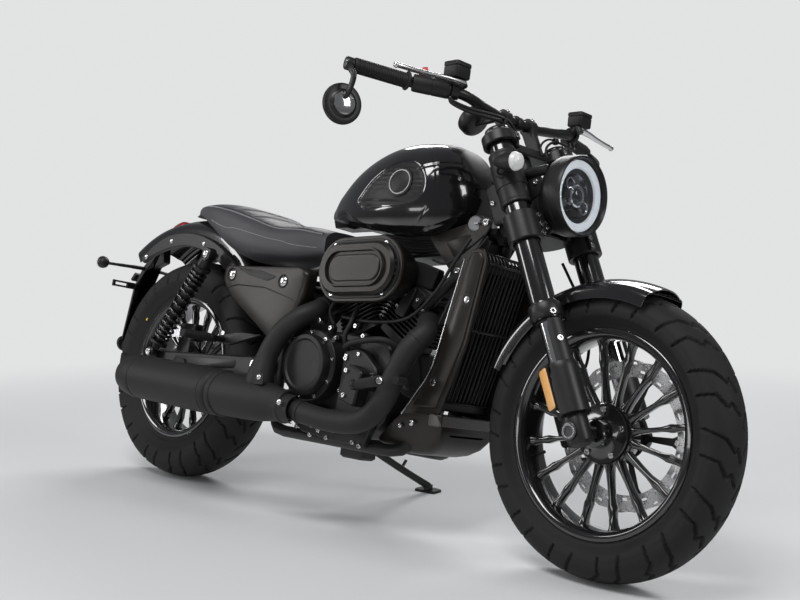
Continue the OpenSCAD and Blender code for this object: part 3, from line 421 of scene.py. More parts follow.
def bolt(bm, p, d, r=6, h=4, dome=False, mat=0):
    """A bolt head standing on point p along d, domed or with a socket."""
    if dome:
        prof = [(0, h), (r * 0.45, h * 0.95), (r * 0.8, h * 0.7), (r, h * 0.25), (r, 0), (0, 0)]
    else:
        prof = [(0, h * 0.35), (r * 0.5, h * 0.35), (r * 0.5, h), (r * 0.88, h), (r, h * 0.8),
                (r, 0), (0, 0)]
    lathe(bm, prof[::-1], p, d, 16, mat)


def bolts(bm, spots, y, r, h, **look):
    """Bolt heads at [x, z] spots on the plane y, facing outwards."""
    for x, z in spots:
        bolt(bm, (x, y, z), (0, -1 if y < 0 else 1, 0), r, h, **look)


def stadium(w, h, n=12):
    """Outline of an oval with straight sides, w by h."""
    r = h / 2
    out = []
    for i in range(n + 1):
        a = -pi / 2 + pi * i / n
        out.append((w / 2 - r + r * cos(a), r * sin(a)))
    for i in range(n + 1):
        a = pi / 2 + pi * i / n
        out.append((-w / 2 + r + r * cos(a), r * sin(a)))
    return out


def sided(p, s):
    """The point p on the left for s = 1, or on the right for s = -1."""
    return Vector((p.x, p.y * s, p.z))


def sgnpow(v, e):
    """A power that keeps the sign, for rounded-square sections."""
    return math.copysign(abs(v) ** e, v)


def smooth01(t):
    """Eases from 0 to 1."""
    t = max(0.0, min(1.0, t))
    return t * t * (3 - 2 * t)


# ---------------------------------------------------------------- camera, light and floor
BACKDROP = (0.76, 0.765, 0.77)


def stage():
    """Camera, soft studio lights, backdrop and floor."""
    sc = bpy.context.scene
    cam = bpy.data.cameras.new("camera")
    co = bpy.data.objects.new("camera", cam)
    sc.collection.objects.link(co)
    cam.sensor_width = 36.0
    cam.lens = 49.0014
    yaw, pitch = radians(132.91), radians(-3.64)
    d = Vector((cos(yaw) * cos(pitch), sin(yaw) * cos(pitch), sin(pitch)))
    co.location = ((2617.7 - ORIGIN_X) / 1000, (-1862.4 - ORIGIN_Y) / 1000, 0.7151)
    co.rotation_euler = d.to_track_quat('-Z', 'Y').to_euler()
    cam.clip_end = 60
    sc.camera = co

    def area(name, loc, size, power, target=(0, 0, 0.5)):
        li = bpy.data.lights.new(name, 'AREA')
        li.shape = 'RECTANGLE'
        li.size, li.size_y = size
        li.energy = power
        ob = bpy.data.objects.new(name, li)
        ob.location = loc
        ob.rotation_euler = (Vector(target) - Vector(loc)).to_track_quat('-Z', 'Y').to_euler()
        sc.collection.objects.link(ob)
    area("key", (0.6, -2.2, 3.9), (2.6, 1.2), 105)
    area("side", (-3.0, -2.6, 1.9), (0.8, 2.2), 40)
    area("front", (3.6, 0.4, 2.3), (0.9, 2.0), 44)
    area("rim", (-1.4, 2.9, 3.0), (3.2, 0.8), 90)
    area("low", (0.2, -3.4, 0.9), (3.0, 0.35), 14, (0, 0, 0.35))

    w = bpy.data.worlds.new("world")
    sc.world = w
    w.use_nodes = True
    nt = w.node_tree
    link = nt.links.new
    bg = nt.nodes["Background"]
    bg.inputs["Color"].default_value = (0.82, 0.84, 0.87, 1)
    bg.inputs["Strength"].default_value = 0.17
    seen_bg = node(nt, "Background", Color=(*BACKDROP, 1), Strength=1.0)
    rays = node(nt, "LightPath")
    mix = node(nt, "MixShader")
    link(rays.outputs["Is Camera Ray"], mix.inputs[0])
    link(bg.outputs[0], mix.inputs[1])
    link(seen_bg.outputs[0], mix.inputs[2])
    link(mix.outputs[0], nt.nodes["World Output"].inputs[0])

    me = bpy.data.meshes.new("floor")
    bm = bmesh.new()
    bmesh.ops.create_grid(bm, x_segments=2, y_segments=2, size=14)
    bm.to_mesh(me)
    bm.free()
    fl = bpy.data.objects.new("floor", me)
    sc.collection.objects.link(fl)
    paint = material("floor_paint", (0.7, 0.71, 0.72), 0.5, noise=(0.8, 0.02))
    nt = paint.node_tree
    link = nt.links.new
    tc = next(n for n in nt.nodes if n.type == 'TEX_COORD')
    # Far from the machine the floor turns into the backdrop
    ln = node(nt, "VectorMath")
    ln.operation = 'LENGTH'
    link(tc.outputs["Object"], ln.inputs[0])
    fade = node(nt, "MapRange", From_Min=1.3, From_Max=3.6)
    fade.interpolation_type = 'SMOOTHSTEP'
    link(ln.outputs["Value"], fade.inputs["Value"])
    far = node(nt, "Emission", Color=(*BACKDROP, 1))
    mix = node(nt, "MixShader")
    link(fade.outputs["Result"], mix.inputs[0])
    link(nt.nodes["Principled BSDF"].outputs[0], mix.inputs[1])
    # Away from the camera's own rays the far floor stays dim, so blacks keep their depth
    dim = node(nt, "Emission", Color=(*BACKDROP, 1), Strength=0.16)
    seen = node(nt, "LightPath")
    pick = node(nt, "MixShader")
    link(seen.outputs["Is Camera Ray"], pick.inputs[0])
    link(dim.outputs[0], pick.inputs[1])
    link(far.outputs[0], pick.inputs[2])
    link(pick.outputs[0], mix.inputs[2])
    link(mix.outputs[0], nt.nodes["Material Output"].inputs[0])
    me.materials.append(paint)
    sc.view_settings.view_transform = 'Standard'


# ---------------------------------------------------------------- wheels
def tyre_profile(r, w, seat_r, seat_half, crown_r, shoulder_r):
    """Half a tyre section as [radius, y], crown first, the same curve as the CAD tyre."""
    n = 9
    a = math.asin((w / 2 - shoulder_r) / (crown_r - shoulder_r))
    cx, cy = r - crown_r + (crown_r - shoulder_r) * cos(a), w / 2 - shoulder_r
    pts = [(r - crown_r + crown_r * cos(a * i / n), crown_r * sin(a * i / n)) for i in range(n)]
    pts += [(cx + shoulder_r * cos(t), cy + shoulder_r * sin(t)) for t in
            [a + (radians(112) - a) * i / 14 for i in range(15)]]
    return pts + [(seat_r + 13, seat_half + 1), (seat_r + 7, seat_half)]


def groove(s, y, period, half, lines, width):
    """Depth from 0 to 1 of the tread's grooves at arc s and height y across the tyre."""
    best = 0.0
    for side in (1, -1):
        yy = y * side
        u = (s + (0 if side > 0 else period / 2)) % period
        for line in lines:
            for shift in (-period, 0, period):
                for (x1, y1), (x2, y2) in zip(line, line[1:]):
                    px, py = u - x1 * period - shift, yy - y1 * half
                    dx, dy = (x2 - x1) * period, (y2 - y1) * half
                    t = max(0, min(1, (px * dx + py * dy) / (dx * dx + dy * dy)))
                    d = sqrt((px - t * dx) ** 2 + (py - t * dy) ** 2)
                    best = max(best, smooth01((width - d) / 2.2))
                    if best >= 1:
                        return best
    return best


def tyre(name, r, w, rim_r, seat_half, crown, shoulder, matrix, body, count, dot=False):
    """Tyre with a grooved tread, count periods round, and a plain side wall."""
    half = tyre_profile(r - 0.2, w - 0.4, rim_r - 7, seat_half, crown, shoulder)
    # Even steps along the section, finer on the tread
    fine = [Vector(half[0])]
    for a, b in zip(half, half[1:]):
        a, b = Vector(a), Vector(b)
        on_tread = a.x > r - w * 0.3
        k = max(1, int((b - a).length / (2.2 if on_tread else 5.5)))
        fine += [a.lerp(b, (j + 1) / k) for j in range(k)]
    section = [Vector((p.x, -p.y)) for p in reversed(fine)] + fine[1:]
    arc_y = []
    mid = len(section) // 2
    for i, p in enumerate(section):
        q = 0
        rng = range(mid, i) if i > mid else range(i, mid)
        for j in rng:
            q += (section[j + 1] - section[j]).length
        arc_y.append(q if i > mid else -q)
    tread = w * 0.56
    period = 2 * pi * r / count
    lines = [[(0.02, 0.08), (0.2, 0.34), (0.13, 0.5), (0.34, 0.78), (0.4, 1.32)],
             [(0.5, 0.3), (0.68, 0.62), (0.84, 1.32)], [(0.36, 0.04), (0.56, 0.22)]]
    per = 44
    n = count * per
    # The pattern repeats, so its depths are worked out once for a period
    depth = [[groove(period * j / per, y, period, tread, lines, 4.2) if abs(y) < tread * 1.4
              else 0.0 for y in arc_y] for j in range(per)]
    normals = []
    for i in range(len(section)):
        a, b = section[max(i - 1, 0)], section[min(i + 1, len(section) - 1)]
        t = (b - a).normalized()
        normals.append(Vector((t.y, -t.x)))
    bm = bmesh.new()
    ring_list = []
    for k in range(n):
        th = turn(k, n)
        row = []
        for i, p in enumerate(section):
            dd = 5.6 * depth[k % per][i]
            # A shallow band round the side wall
            if 0.45 < (r - p.x) / (r - rim_r) < 0.53:
                dd += 0.8
            q = p - normals[i] * dd
            row.append((q.x * cos(th), q.y, q.x * sin(th)))
        ring_list.append(row)
    rings(bm, ring_list, close=False, caps=False, loop=True)
    # Inner skin that closes the casing
    inner = [(rim_r, seat_half * 0.96), (rim_r + 25, seat_half * 0.9), (rim_r + 25, -seat_half * 0.9),
             (rim_r, -seat_half * 0.96)]
    ring_list = [[(a * cos(turn(k, 96)), b, a * sin(turn(k, 96))) for a, b in inner]
                 for k in range(96)]
    rings(bm, ring_list, close=False, caps=False, loop=True)
    for sgn in (1, -1):
        for rr, hh in ((rim_r + 12, 1.1), (rim_r + (r - rim_r) * 0.3, 0.8)):
            th_p = [p for p in fine if p.x <= rr]
            y = th_p[0].y if th_p else seat_half
            lathe(bm, [(rr - 1.6, (y - 0.6) * sgn), (rr, (y + hh) * sgn), (rr + 1.6, (y - 0.4) * sgn)],
                  CENTRE, LEFT, 128)
    ob = finish_mesh(name, bm, matrix, body, "tyre", smooth=38)
    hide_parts(name.replace("_treaded", ""))
    if dot:
        bm = bmesh.new()
        p = [q for q in fine if q.x <= rim_r + 22][0]
        lathe(bm, [(0, 0.9), (4.2, 0.8), (4.6, 0.2)],
              (cos(2.55) * (rim_r + 22), -p.y, sin(2.55) * (rim_r + 22)), (0, -1, 0.0), 20)
        finish_mesh(name.split("_")[0] + "_tyre_dot", bm, matrix, body, "yellow")


def wheel(name, edge, half, hub_half, matrix, body, node):
    """Cast wheel: rim with dropped centre, hub and sixteen tapered spokes."""
    bm = bmesh.new()
    seat = edge - 7.3
    inner = seat - 12
    prof = [(inner, -half + 5), (inner + 5, -half - 2.5), (inner + 9, -half - 4.2),
            (edge - 2, -half - 4.2), (edge, -half - 2.4), (edge - 1.2, -half - 0.4),
            (seat, -half + 1), (seat - 1.5, -half + 14), (seat - 9, -half + 26), (seat - 9, half - 26),
            (seat - 1.5, half - 14), (seat, half - 1), (edge - 1.2, half + 0.4), (edge, half + 2.4),
            (edge - 2, half + 4.2), (inner + 9, half + 4.2), (inner + 5, half + 2.5),
            (inner, half - 5), (inner - 3, half - 12), (inner - 4, 0), (inner - 3, -half + 12)]
    lathe(bm, prof, CENTRE, LEFT, 128, loop=True)
    # Hub: flange, barrel and bearing seats
    lathe(bm, [(10.5, -hub_half), (22, -hub_half), (29, -hub_half + 3), (30, -hub_half + 8),
               (31, -30), (40, -26), (60, -25.5), (64, -21), (64, 21), (60, 25.5), (40, 26),
               (31, 30), (30, hub_half - 8), (29, hub_half - 3), (22, hub_half), (10.5, hub_half)],
          CENTRE, LEFT, 64, loop=True)
    for k in range(5):
        a = turn(k + 0.25, 5)
        for s in (1, -1):
            bolt(bm, (50 * cos(a), 25.5 * s, 50 * sin(a)), (0, s, 0), 6.5, 4, mat=1)
    # Spokes: rounded section, waisted in the middle and swelling near the rim
    stations = [(56, 11, 13), (66, 8.6, 12.4), (80, 6.6, 11.8), (105, 5.2, 11), (128, 5.0, 10.2),
                (142, 7.2, 10.4), (150, 9.2, 10.8), (158, 8.4, 10.6), (168, 7.0, 10.2),
                (inner - 14, 7.4, 11), (inner - 6, 9.6, 12.6), (inner + 2, 12.5, 15)]
    for i in range(16):
        th = turn(i + 0.5, 16)
        rl = []
        for rr, hw, hy in stations:
            ring = []
            for k in range(16):
                a = turn(k, 16)
                x, y = hw * sgnpow(cos(a), 0.62), hy * sgnpow(sin(a), 0.62)
                ring.append((rr * cos(th) - x * sin(th), y, rr * sin(th) + x * cos(th)))
            rl.append(list(reversed(ring)))
        rings(bm, rl)
    ob = finish_mesh(name, bm, matrix, body, ["gloss", "steel"], smooth=42)
    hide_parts(node)
    # Valve
    bm = bmesh.new()
    a = radians(200)
    p = Vector((inner * cos(a), 6, inner * sin(a)))
    d = Vector((-cos(a), -0.25, -sin(a)))
    rod(bm, p, p + d * 22, 3, 12)
    rod(bm, p + d * 20, p + d * 30, 4, 12)
    finish_mesh(name + "_valve", bm, matrix, body, "rubber")


def disc_mesh(bm, r, thick, y, slots, band):
    """Brake ring with rows of slots; every hole is a real one."""
    n = slots * 12
    inner = r - band
    # Rows of short slanted slots, three to a group, as open cells of a fine ring
    radii = [inner, inner + 5, inner + 11, inner + 16, inner + 22, inner + 27, r - 4, r - 1.0]
    grid = {}
    for s in (0, 1):
        for j, rr in enumerate(radii):
            for k in range(n):
                a = turn(k + 0.45 * j, n)
                wob = 1.6 * cos(a * slots) if j == len(radii) - 1 else 0
                grid[s, j, k] = bm.verts.new(((rr + wob) * cos(a), y + (thick / 2 if s else -thick / 2),
                                              (rr + wob) * sin(a)))
    hole = set()
    for k in range(n):
        c, g = k % 12, (k // 12) % 2
        if (c in (1, 2, 3, 4)) if g else (c in (2, 3, 4, 5)):
            hole.add((1 if g else 2, k))
        if (c in (8, 9, 10)) if g else (c in (7, 8, 9)):
            hole.add((4 if g else 5, k))
    J = len(radii) - 1

    def quad(*corners):
        bm.faces.new(corners)
    for j in range(J):
        for k in range(n):
            q = (k + 1) % n
            if (j, k) in hole:
                corners = [(j, k), (j, q), (j + 1, q), (j + 1, k)]
                # The wall between two open cells in a row is left out
                walls = [i for i in range(4) if not (i == 1 and (j, q) in hole
                                                     or i == 3 and (j, (k - 1) % n) in hole)]
                for i in walls:
                    a, b = corners[i], corners[(i + 1) % 4]
                    quad(grid[0, *a], grid[0, *b], grid[1, *b], grid[1, *a])
                continue
            quad(grid[1, j, k], grid[1, j, q], grid[1, j + 1, q], grid[1, j + 1, k])
            quad(grid[0, j, k], grid[0, j + 1, k], grid[0, j + 1, q], grid[0, j, q])
    for k in range(n):
        q = (k + 1) % n
        quad(grid[1, J, k], grid[1, J, q], grid[0, J, q], grid[0, J, k])
        quad(grid[0, 0, k], grid[0, 0, q], grid[1, 0, q], grid[1, 0, k])


def spider(*arm):
    """Outline of a disc's carrier: five arms, each of [angle, radius] points."""
    return [(r * cos(turn(i, 5) + da), r * sin(turn(i, 5) + da))
            for i in range(5) for da, r in arm]


def wheels():
    """Tyres and cast wheels; the rear tyre carries its balance mark."""
    tyre("front_tyre_treaded", FRONT_R, FRONT_W, FRONT_RIM, 40, FRONT_CROWN, 38, FRONT_WHEEL,
         "front_wheel", 14)
    tyre("rear_tyre_treaded", REAR_R, REAR_W, REAR_RIM, 52, REAR_CROWN, 42, REAR_WHEEL,
         "rear_wheel", 14, dot=True)
    wheel("front_cast_wheel", 217, 40.3, 58, FRONT_WHEEL, "front_wheel", "front_rim")
    wheel("rear_cast_wheel", 206, 52.3, 58, REAR_WHEEL, "rear_wheel", "rear_rim")


def front_disc():
    """Front brake disc, on the left of the hub."""
    bm = bmesh.new()
    disc_mesh(bm, 160, 5, 64, 20, 36)
    slab(bm, spider((-0.34, 50), (-0.1, 60), (-0.075, 112), (-0.12, 127), (0.12, 127),
                    (0.075, 112), (0.1, 60), (0.34, 50)), 62.2, 65.8, 1, 0.6)
    lathe(bm, [(32, 26.4), (44, 26.4), (44, 62), (50, 62.4), (50, 66.4), (34, 66.4), (32, 64)],
          CENTRE, LEFT, 48, 1, loop=True)
    for i in range(5):
        a = turn(i, 5)
        bolt(bm, (41 * cos(a), 66.4, 41 * sin(a)), LEFT, 5.5, 4, dome=True, mat=2)
        rod(bm, (124 * cos(a), 60.6, 124 * sin(a)), (124 * cos(a), 67.4, 124 * sin(a)), 7, 16, mat=2)
    ob = finish_mesh("front_brake_disc", bm, FRONT_WHEEL, "front_wheel", ["disc", "satin", "steel"],
                     smooth=30)
    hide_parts("front_disc")


def rear_disc():
    """Rear brake disc, on the right of the hub."""
    bm = bmesh.new()
    disc_mesh(bm, 115, 5, -80, 16, 32)
    slab(bm, spider((-0.4, 44), (-0.14, 54), (-0.1, 82), (-0.14, 88), (0.14, 88), (0.1, 82),
                    (0.14, 54), (0.4, 44)), -81.8, -78.2, 1, 0.6)
    lathe(bm, [(18, -58.4), (39, -58.4), (39, -78), (44, -78.4), (44, -82), (20, -82), (18, -80)][::-1],
          CENTRE, LEFT, 48, 1, loop=True)
    for i in range(5):
        a = turn(i, 5)
        bolt(bm, (33 * cos(a), -82, 33 * sin(a)), RIGHT, 5, 4, dome=True, mat=2)
    ob = finish_mesh("rear_brake_disc", bm, REAR_WHEEL, "rear_wheel", ["disc", "satin", "steel"],
                     smooth=30)
    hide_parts("rear_disc")


def sprocket():
    """Rear sprocket with its teeth and bolts."""
    bm = bmesh.new()
    teeth = 42
    out = []
    for i in range(teeth):
        for da, rr in ((-0.5, 90.5), (-0.28, 91), (-0.13, 95.6), (0.13, 95.6), (0.28, 91)):
            a = turn(i + da, teeth)
            out.append((rr * cos(a), rr * sin(a)))
    slab(bm, out, 86.2, 91.8, 0, 1.0)
    lathe(bm, [(19, 58.4), (44, 58.4), (46, 62), (46, 86), (19, 86)], CENTRE, LEFT, 48, 1,
          loop=True)
    for i in range(5):
        a = turn(i, 5)
        bolt(bm, (34 * cos(a), 91.8, 34 * sin(a)), LEFT, 7, 5, dome=True, mat=0)
    ob = finish_mesh("rear_toothed_sprocket", bm, REAR_WHEEL, "rear_wheel", ["dark_steel", "satin"],
                     smooth=30)
    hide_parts("rear_sprocket")


# ---------------------------------------------------------------- tank
TANK_REAR, TANK_FRONT = 548.0, on_axis(895).x - 121
TANK_TOPS = [772, 828, 880, 914, 932, 935, 922, 872]
TANK_LOWS = [742, 732, 720, 708, 700, 697, 704, 734]
TANK_WIDTHS = [0.34, 0.6, 0.8, 0.93, 1, 0.99, 0.9, 0.62]


def tank_point(t, a):
    """t runs from the rear to the front, a from -1 (right hem) over the top to 1 (left hem)."""
    x = TANK_REAR + (TANK_FRONT - TANK_REAR) * t
    w = 149.2 * along(TANK_WIDTHS, t)
    top, low = along(TANK_TOPS, t) - 0.6, along(TANK_LOWS, t)
    # The nose and the tail round off instead of ending flat
    nose = sqrt(max(0, 1 - max(0, (t - 0.86) / 0.14) ** 2.6))
    tail = sqrt(max(0, 1 - max(0, (0.05 - t) / 0.05) ** 2))
    w *= 0.35 + 0.65 * nose if t > 0.5 else 0.5 + 0.5 * tail
    top -= (1 - nose) * 70
    low += (1 - nose) * 34
    mid = low + (top - low) * 0.36
    s = abs(a)
    if s < 0.72:
        ang = s / 0.72 * pi / 2
        y, z = w * sin(ang) ** 0.8 if ang > 0 else 0, mid + (top - mid) * max(0, cos(ang)) ** 0.85
    else:
        q = (s - 0.72) / 0.28
        y = w * (1 - 0.19 * q ** 2.6)
        z = mid - (mid - low) * q
    return Vector((x, math.copysign(y, a), z))


PANEL = [(722, 774), (778, 828), (852, 872), (902, 868), (936, 832), (941, 792), (915, 764),
         (870, 757), (755, 752)]


def inside(p, outline):
    """Distance from the outline, positive inside."""
    best, n, odd = 1e9, len(outline), False
    for i in range(n):
        a, b = outline[i], outline[(i + 1) % n]
        ab = b - a
        h = max(0, min(1, (p - a).dot(ab) / ab.length_squared))
        best = min(best, (p - a - ab * h).length)
        if (a.y > p.y) != (b.y > p.y) and p.x < a.x + (p.y - a.y) / (b.y - a.y) * ab.x:
            odd = not odd
    return best if odd else -best


def tank():
    """Painted tank: recessed ribbed side panels, a bead, a crease and the hem's weld seam."""
    bm = bmesh.new()
    n, m = 190, 190
    panel = [Vector(q[:2]) for q in rounded(PANEL, [10, 26, 34, 34, 34, 34, 26, 20, 12], 4)]
    grid, matte = [], []
    for i in range(n + 1):
        t = 0.004 + 0.992 * i / n
        row = []
        for k in range(m + 1):
            a = -1 + 2 * k / m
            p = tank_point(t, a)
            e = 0.004
            dt = tank_point(min(1, t + e), a) - tank_point(max(0, t - e), a)
            aa = max(-0.999, min(0.999, a))
            da = tank_point(t, aa + e) - tank_point(t, aa - e)
            nrm = dt.cross(da).normalized()
            if nrm.dot(Vector((0, p.y * 0.8, p.z - 800))) < 0:
                nrm = -nrm
            s = abs(a)
            d = 0.0
            # Recessed side panel, with ribs lying along it
            if s > 0.3 and 700 < p.x < 960:
                dist = inside(Vector((p.x, p.z)), panel)
                d += 2.6 * smooth01((dist + 2) / 4)
                if dist > 7:
                    ph = (p.z - 752 + 0.05 * (p.x - 770)) / 11.5
                    rib = abs(((ph + 0.5) % 1.0) - 0.5) * 2
                    d -= 1.6 * smooth01((0.42 - rib) / 0.25) * smooth01((dist - 7) / 4)
            matte.append(s > 0.3 and 700 < p.x < 960 and dist > 1.5)
            # Bead in front of the panel
            bx = p.x - (961 - 0.0052 * (p.z - 806) ** 2)
            if s > 0.36:
                d += 1.3 * max(0, 1 - abs(bx) / 2.6)
            # Crease along the shoulder towards the front
            cz = p.z - (846 + 0.34 * (p.x - 900))
            if p.x > 880 and s > 0.25:
                d += 1.6 * max(0, 1 - abs(cz) / 4) * smooth01((p.x - 880) / 40)
            # Weld seam round the hem
            if s > 0.955:
                d += 2.0 * smooth01((s - 0.955) / 0.02)
            row.append(bm.verts.new(p - nrm * d))
        grid.append(row)
    for i in range(n):
        for k in range(m):
            f = bm.faces.new((grid[i][k], grid[i + 1][k], grid[i + 1][k + 1], grid[i][k + 1]))
            f.material_index = int(matte[i * (m + 1) + k] and matte[(i + 1) * (m + 1) + k + 1])
    # Under side, with the tunnel for the backbone
    lows = []
    for i in range(n + 1):
        t = 0.004 + 0.992 * i / n
        x = TANK_REAR + (TANK_FRONT - TANK_REAR) * t
        low = along(TANK_LOWS, t)
        rz = 728 + 16 * t
        lows.append([grid[i][m], bm.verts.new((x, 39, low + 4)), bm.verts.new((x, 31, rz)),
                     bm.verts.new((x, -31, rz)), bm.verts.new((x, -39, low + 4)), grid[i][0]])
    for i in range(n):
        for k in range(5):
            bm.faces.new((lows[i][k], lows[i + 1][k], lows[i + 1][k + 1], lows[i][k + 1]))
    for i, flip in ((0, False), (n, True)):
        ring = list(grid[i]) + lows[i][1:5]
        bm.faces.new(ring if flip else list(reversed(ring)))
    bmesh.ops.recalc_face_normals(bm, faces=bm.faces)
    ob = finish_mesh("painted_tank", bm, BIKE, "chassis", ["gloss", "plastic"],
                     smooth=50)
    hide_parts("fuel_tank")


def tank_badges():
    """Round blank badge and its ring on both sides."""
    bm = bmesh.new()
    for sgn in (1, -1):
        t = (868 - TANK_REAR) / (TANK_FRONT - TANK_REAR)
        p = tank_point(t, 0.645 * sgn)
        # Face of the badge follows the side of the tank
        q = tank_point(t, 0.69 * sgn) - tank_point(t, 0.6 * sgn)
        r_ = tank_point(t + 0.03, 0.645 * sgn) - tank_point(t - 0.03, 0.645 * sgn)
        nrm = q.cross(r_).normalized()
        if nrm.y * sgn < 0:
            nrm = -nrm
        o = p - nrm * 3.5
        lathe(bm, [(0, 4.2), (25, 4.2), (26.5, 3.4), (28, 3.4)], o, nrm, 64, 1)
        lathe(bm, [(28, 3.4), (28.3, 4.6), (30.4, 4.6), (30.8, 3.2)], o, nrm, 64, 0)
        lathe(bm, [(30.8, 3.2), (35, 2.8), (36, -2)], o, nrm, 64, 1)
    finish_mesh("tank_badges", bm, BIKE, "chassis", ["badge", "plastic"], smooth=35)


def filler_cap():
    """Flush filler cap on the tank's ridge."""
    bm = bmesh.new()
    t = 0.62
    p, q = tank_point(t, 0), tank_point(t + 0.02, 0) - tank_point(t - 0.02, 0)
    up = Vector((-q.z, 0, q.x)).normalized()
    lathe(bm, [(0, 3.2), (10, 3.2), (11, 2.4), (30, 2.4), (32, 1.8), (35, 1.6), (38, 0), (38, -4)],
          p, up, 64)
    finish_mesh("filler_cap", bm, BIKE, "chassis", "satin", smooth=35)


def tank_nose_trim():
    """Trim cover over the tank's nose."""
    bm = bmesh.new()
    rl = []
    for i in range(13):
        t = 0.8 + 0.195 * i / 12
        ring = []
        for k in range(17):
            a = (-1 + 2 * k / 16) * (0.2 - 0.05 * abs(i / 12 - 0.4))
            p = tank_point(t, a)
            ring.append(p + Vector((0, 0, 1.9 - 1.9 * (abs(k - 8) / 8) ** 6)))
        rl.append(ring)
    rings(bm, rl, close=False, caps=False)
    finish_mesh("tank_nose_trim", bm, BIKE, "chassis", "plastic")


# ---------------------------------------------------------------- seat
SEAT_REAR, SEAT_FRONT, THREAD_R = -40.0, 590.0, 0.95
SEAT_TOPS = [766, 784, 790, 782, 757, 729, 727, 714]
SEAT_LOWS = [758, 744, 700, 646, 620, 618, 618, 632]
SEAT_WIDTHS = [0.3, 0.7, 0.93, 1, 1, 0.92, 0.82, 0.7]


def seat_point(t, a):
    """a runs from 0 at the right hem over the top to 1 at the left hem."""
    x = SEAT_REAR + (SEAT_FRONT - SEAT_REAR) * t
    w = 139 * along(SEAT_WIDTHS, t)
    top, low = along(SEAT_TOPS, t) - 1, along(SEAT_LOWS, t) + 1
    mid = (top + low) / 2
    s = a - 0.5
    ang = pi * (0.5 - 1.32 * s)
    if abs(s) > 0.44:
        ang = pi * (0.5 - math.copysign(0.581 + (abs(s) - 0.44) * 4.9, s))
    y = w * sgnpow(cos(ang), 0.6)
    z = mid + (top - mid) * sgnpow(sin(ang), 0.6)
    return Vector((x, y, z))


def seat():
    """Padded seat with its panel seams, cross seams and small wrinkles."""
    bm = bmesh.new()
    n, m = 170, 150
    grid = []
    for i in range(n + 1):
        t = i / n
        row = []
        for k in range(m + 1):
            a = k / m
            p = seat_point(t, a)
            s = abs(a - 0.5)
            d = 0.0
            top_edge = 0.235 + 0.02 * sin(t * pi * 2.2)
            # The seam where the top panel meets the side
            d -= 3.6 * math.exp(-((s - top_edge) / 0.0105) ** 2)
            d -= 1.3 * math.exp(-((s - top_edge - 0.035) / 0.012) ** 2)
            # Cross seams: behind the bolster, at the step and on the rider's part
            for tc, bend, amp in ((0.115, 0.05, 3.2), (0.50, -0.07, 4.2), (0.605, -0.05, 2.4)):
                if s < top_edge + 0.02:
                    d -= amp * math.exp(-((t - tc - bend * (s / 0.24) ** 2) / 0.0085) ** 2)
            # Fullness of the foam between the seams
            if s < top_edge:
                f = 1 - (s / top_edge) ** 4
                d += 1.2 * f * (sin(pi * min(1, max(0, (t - 0.13) / 0.36))) if t < 0.5
                                else sin(pi * min(1, max(0, (t - 0.62) / 0.36))))
            # Small wrinkles near the dip
            d += 0.5 * sin(t * 190 + 7 * sin(s * 14)) * math.exp(-((t - 0.62) / 0.07) ** 2) \
                * smooth01((s - 0.1) / 0.1)
            row.append(bm.verts.new(p + Vector((0, (p.y / 140), 0.8)).normalized() * min(0, d + 0.6)
                                    if d < 0 else p + Vector((0, 0, min(d, 0.9)))))
        grid.append(row)
    for i in range(n):
        for k in range(m):
            f = bm.faces.new((grid[i][k], grid[i][k + 1], grid[i + 1][k + 1], grid[i + 1][k]))
            s = abs((k + 0.5) / m - 0.5)
            f.material_index = 1 if s > 0.235 + 0.02 * sin((i + 0.5) / n * pi * 2.2) else 0
    for i in range(n):
        f = bm.faces.new((grid[i][m], grid[i][0], grid[i + 1][0], grid[i + 1][m]))
    bm.faces.new(grid[0])
    bm.faces.new(list(reversed(grid[n])))
    bmesh.ops.recalc_face_normals(bm, faces=bm.faces)
    ob = finish_mesh("sewn_seat", bm, BIKE, "chassis", ["leather", "leather_side"],
                     smooth=60)
    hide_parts("seat")


def seat_sewing():
    """Piping and rows of stitches along the seams."""
    bm = bmesh.new()
    for sgn in (1, -1):
        path = []
        for i in range(3, 96):
            t = i / 98
            s = 0.235 + 0.02 * sin(t * pi * 2.2)
            p = seat_point(t, 0.5 + sgn * s)
            path.append(p - Vector((0, p.y / 140, 0.8)).normalized() * 1.5)
        tube(bm, path, 3.0, 10)
    finish_mesh("seat_piping", bm, BIKE, "chassis", "plastic", smooth=80)
    bm = bmesh.new()
    for sgn in (1, -1):
        for off in (0.014, 0.026):
            stitches(bm, lambda u: seat_point(0.03 + 0.94 * u,
                                              0.5 + sgn * (0.235 + off + 0.02 *
                                                           sin((0.03 + 0.94 * u) * pi * 2.2))), 150)
        stitches(bm, lambda u: seat_point(0.3 + 0.66 * u, 0.5 + sgn * (0.40 - 0.03 * sin(u * pi))),
                 100)
    for tc, bend in ((0.115, 0.05), (0.50, -0.07), (0.605, -0.05)):
        for off in (-0.011, 0.011):
            stitches(bm, lambda u: seat_point(tc + off + bend * ((u - 0.5) * 0.45 / 0.24) ** 2,
                                              0.5 + (u - 0.5) * 0.45), 56)
    finish_mesh("seat_stitching", bm, BIKE, "chassis", "thread", smooth=80)


def stitches(bm, f, n):
    """n short thread stitches along the curve f(u), u from 0 to 1."""
    for i in range(n):
        a, b = f((i + 0.14) / n), f((i + 0.84) / n)
        up = Vector((0, a.y / 160, 0.8)).normalized() * 0.7
        rod(bm, a + up, b + up, THREAD_R, 6, 0.3)


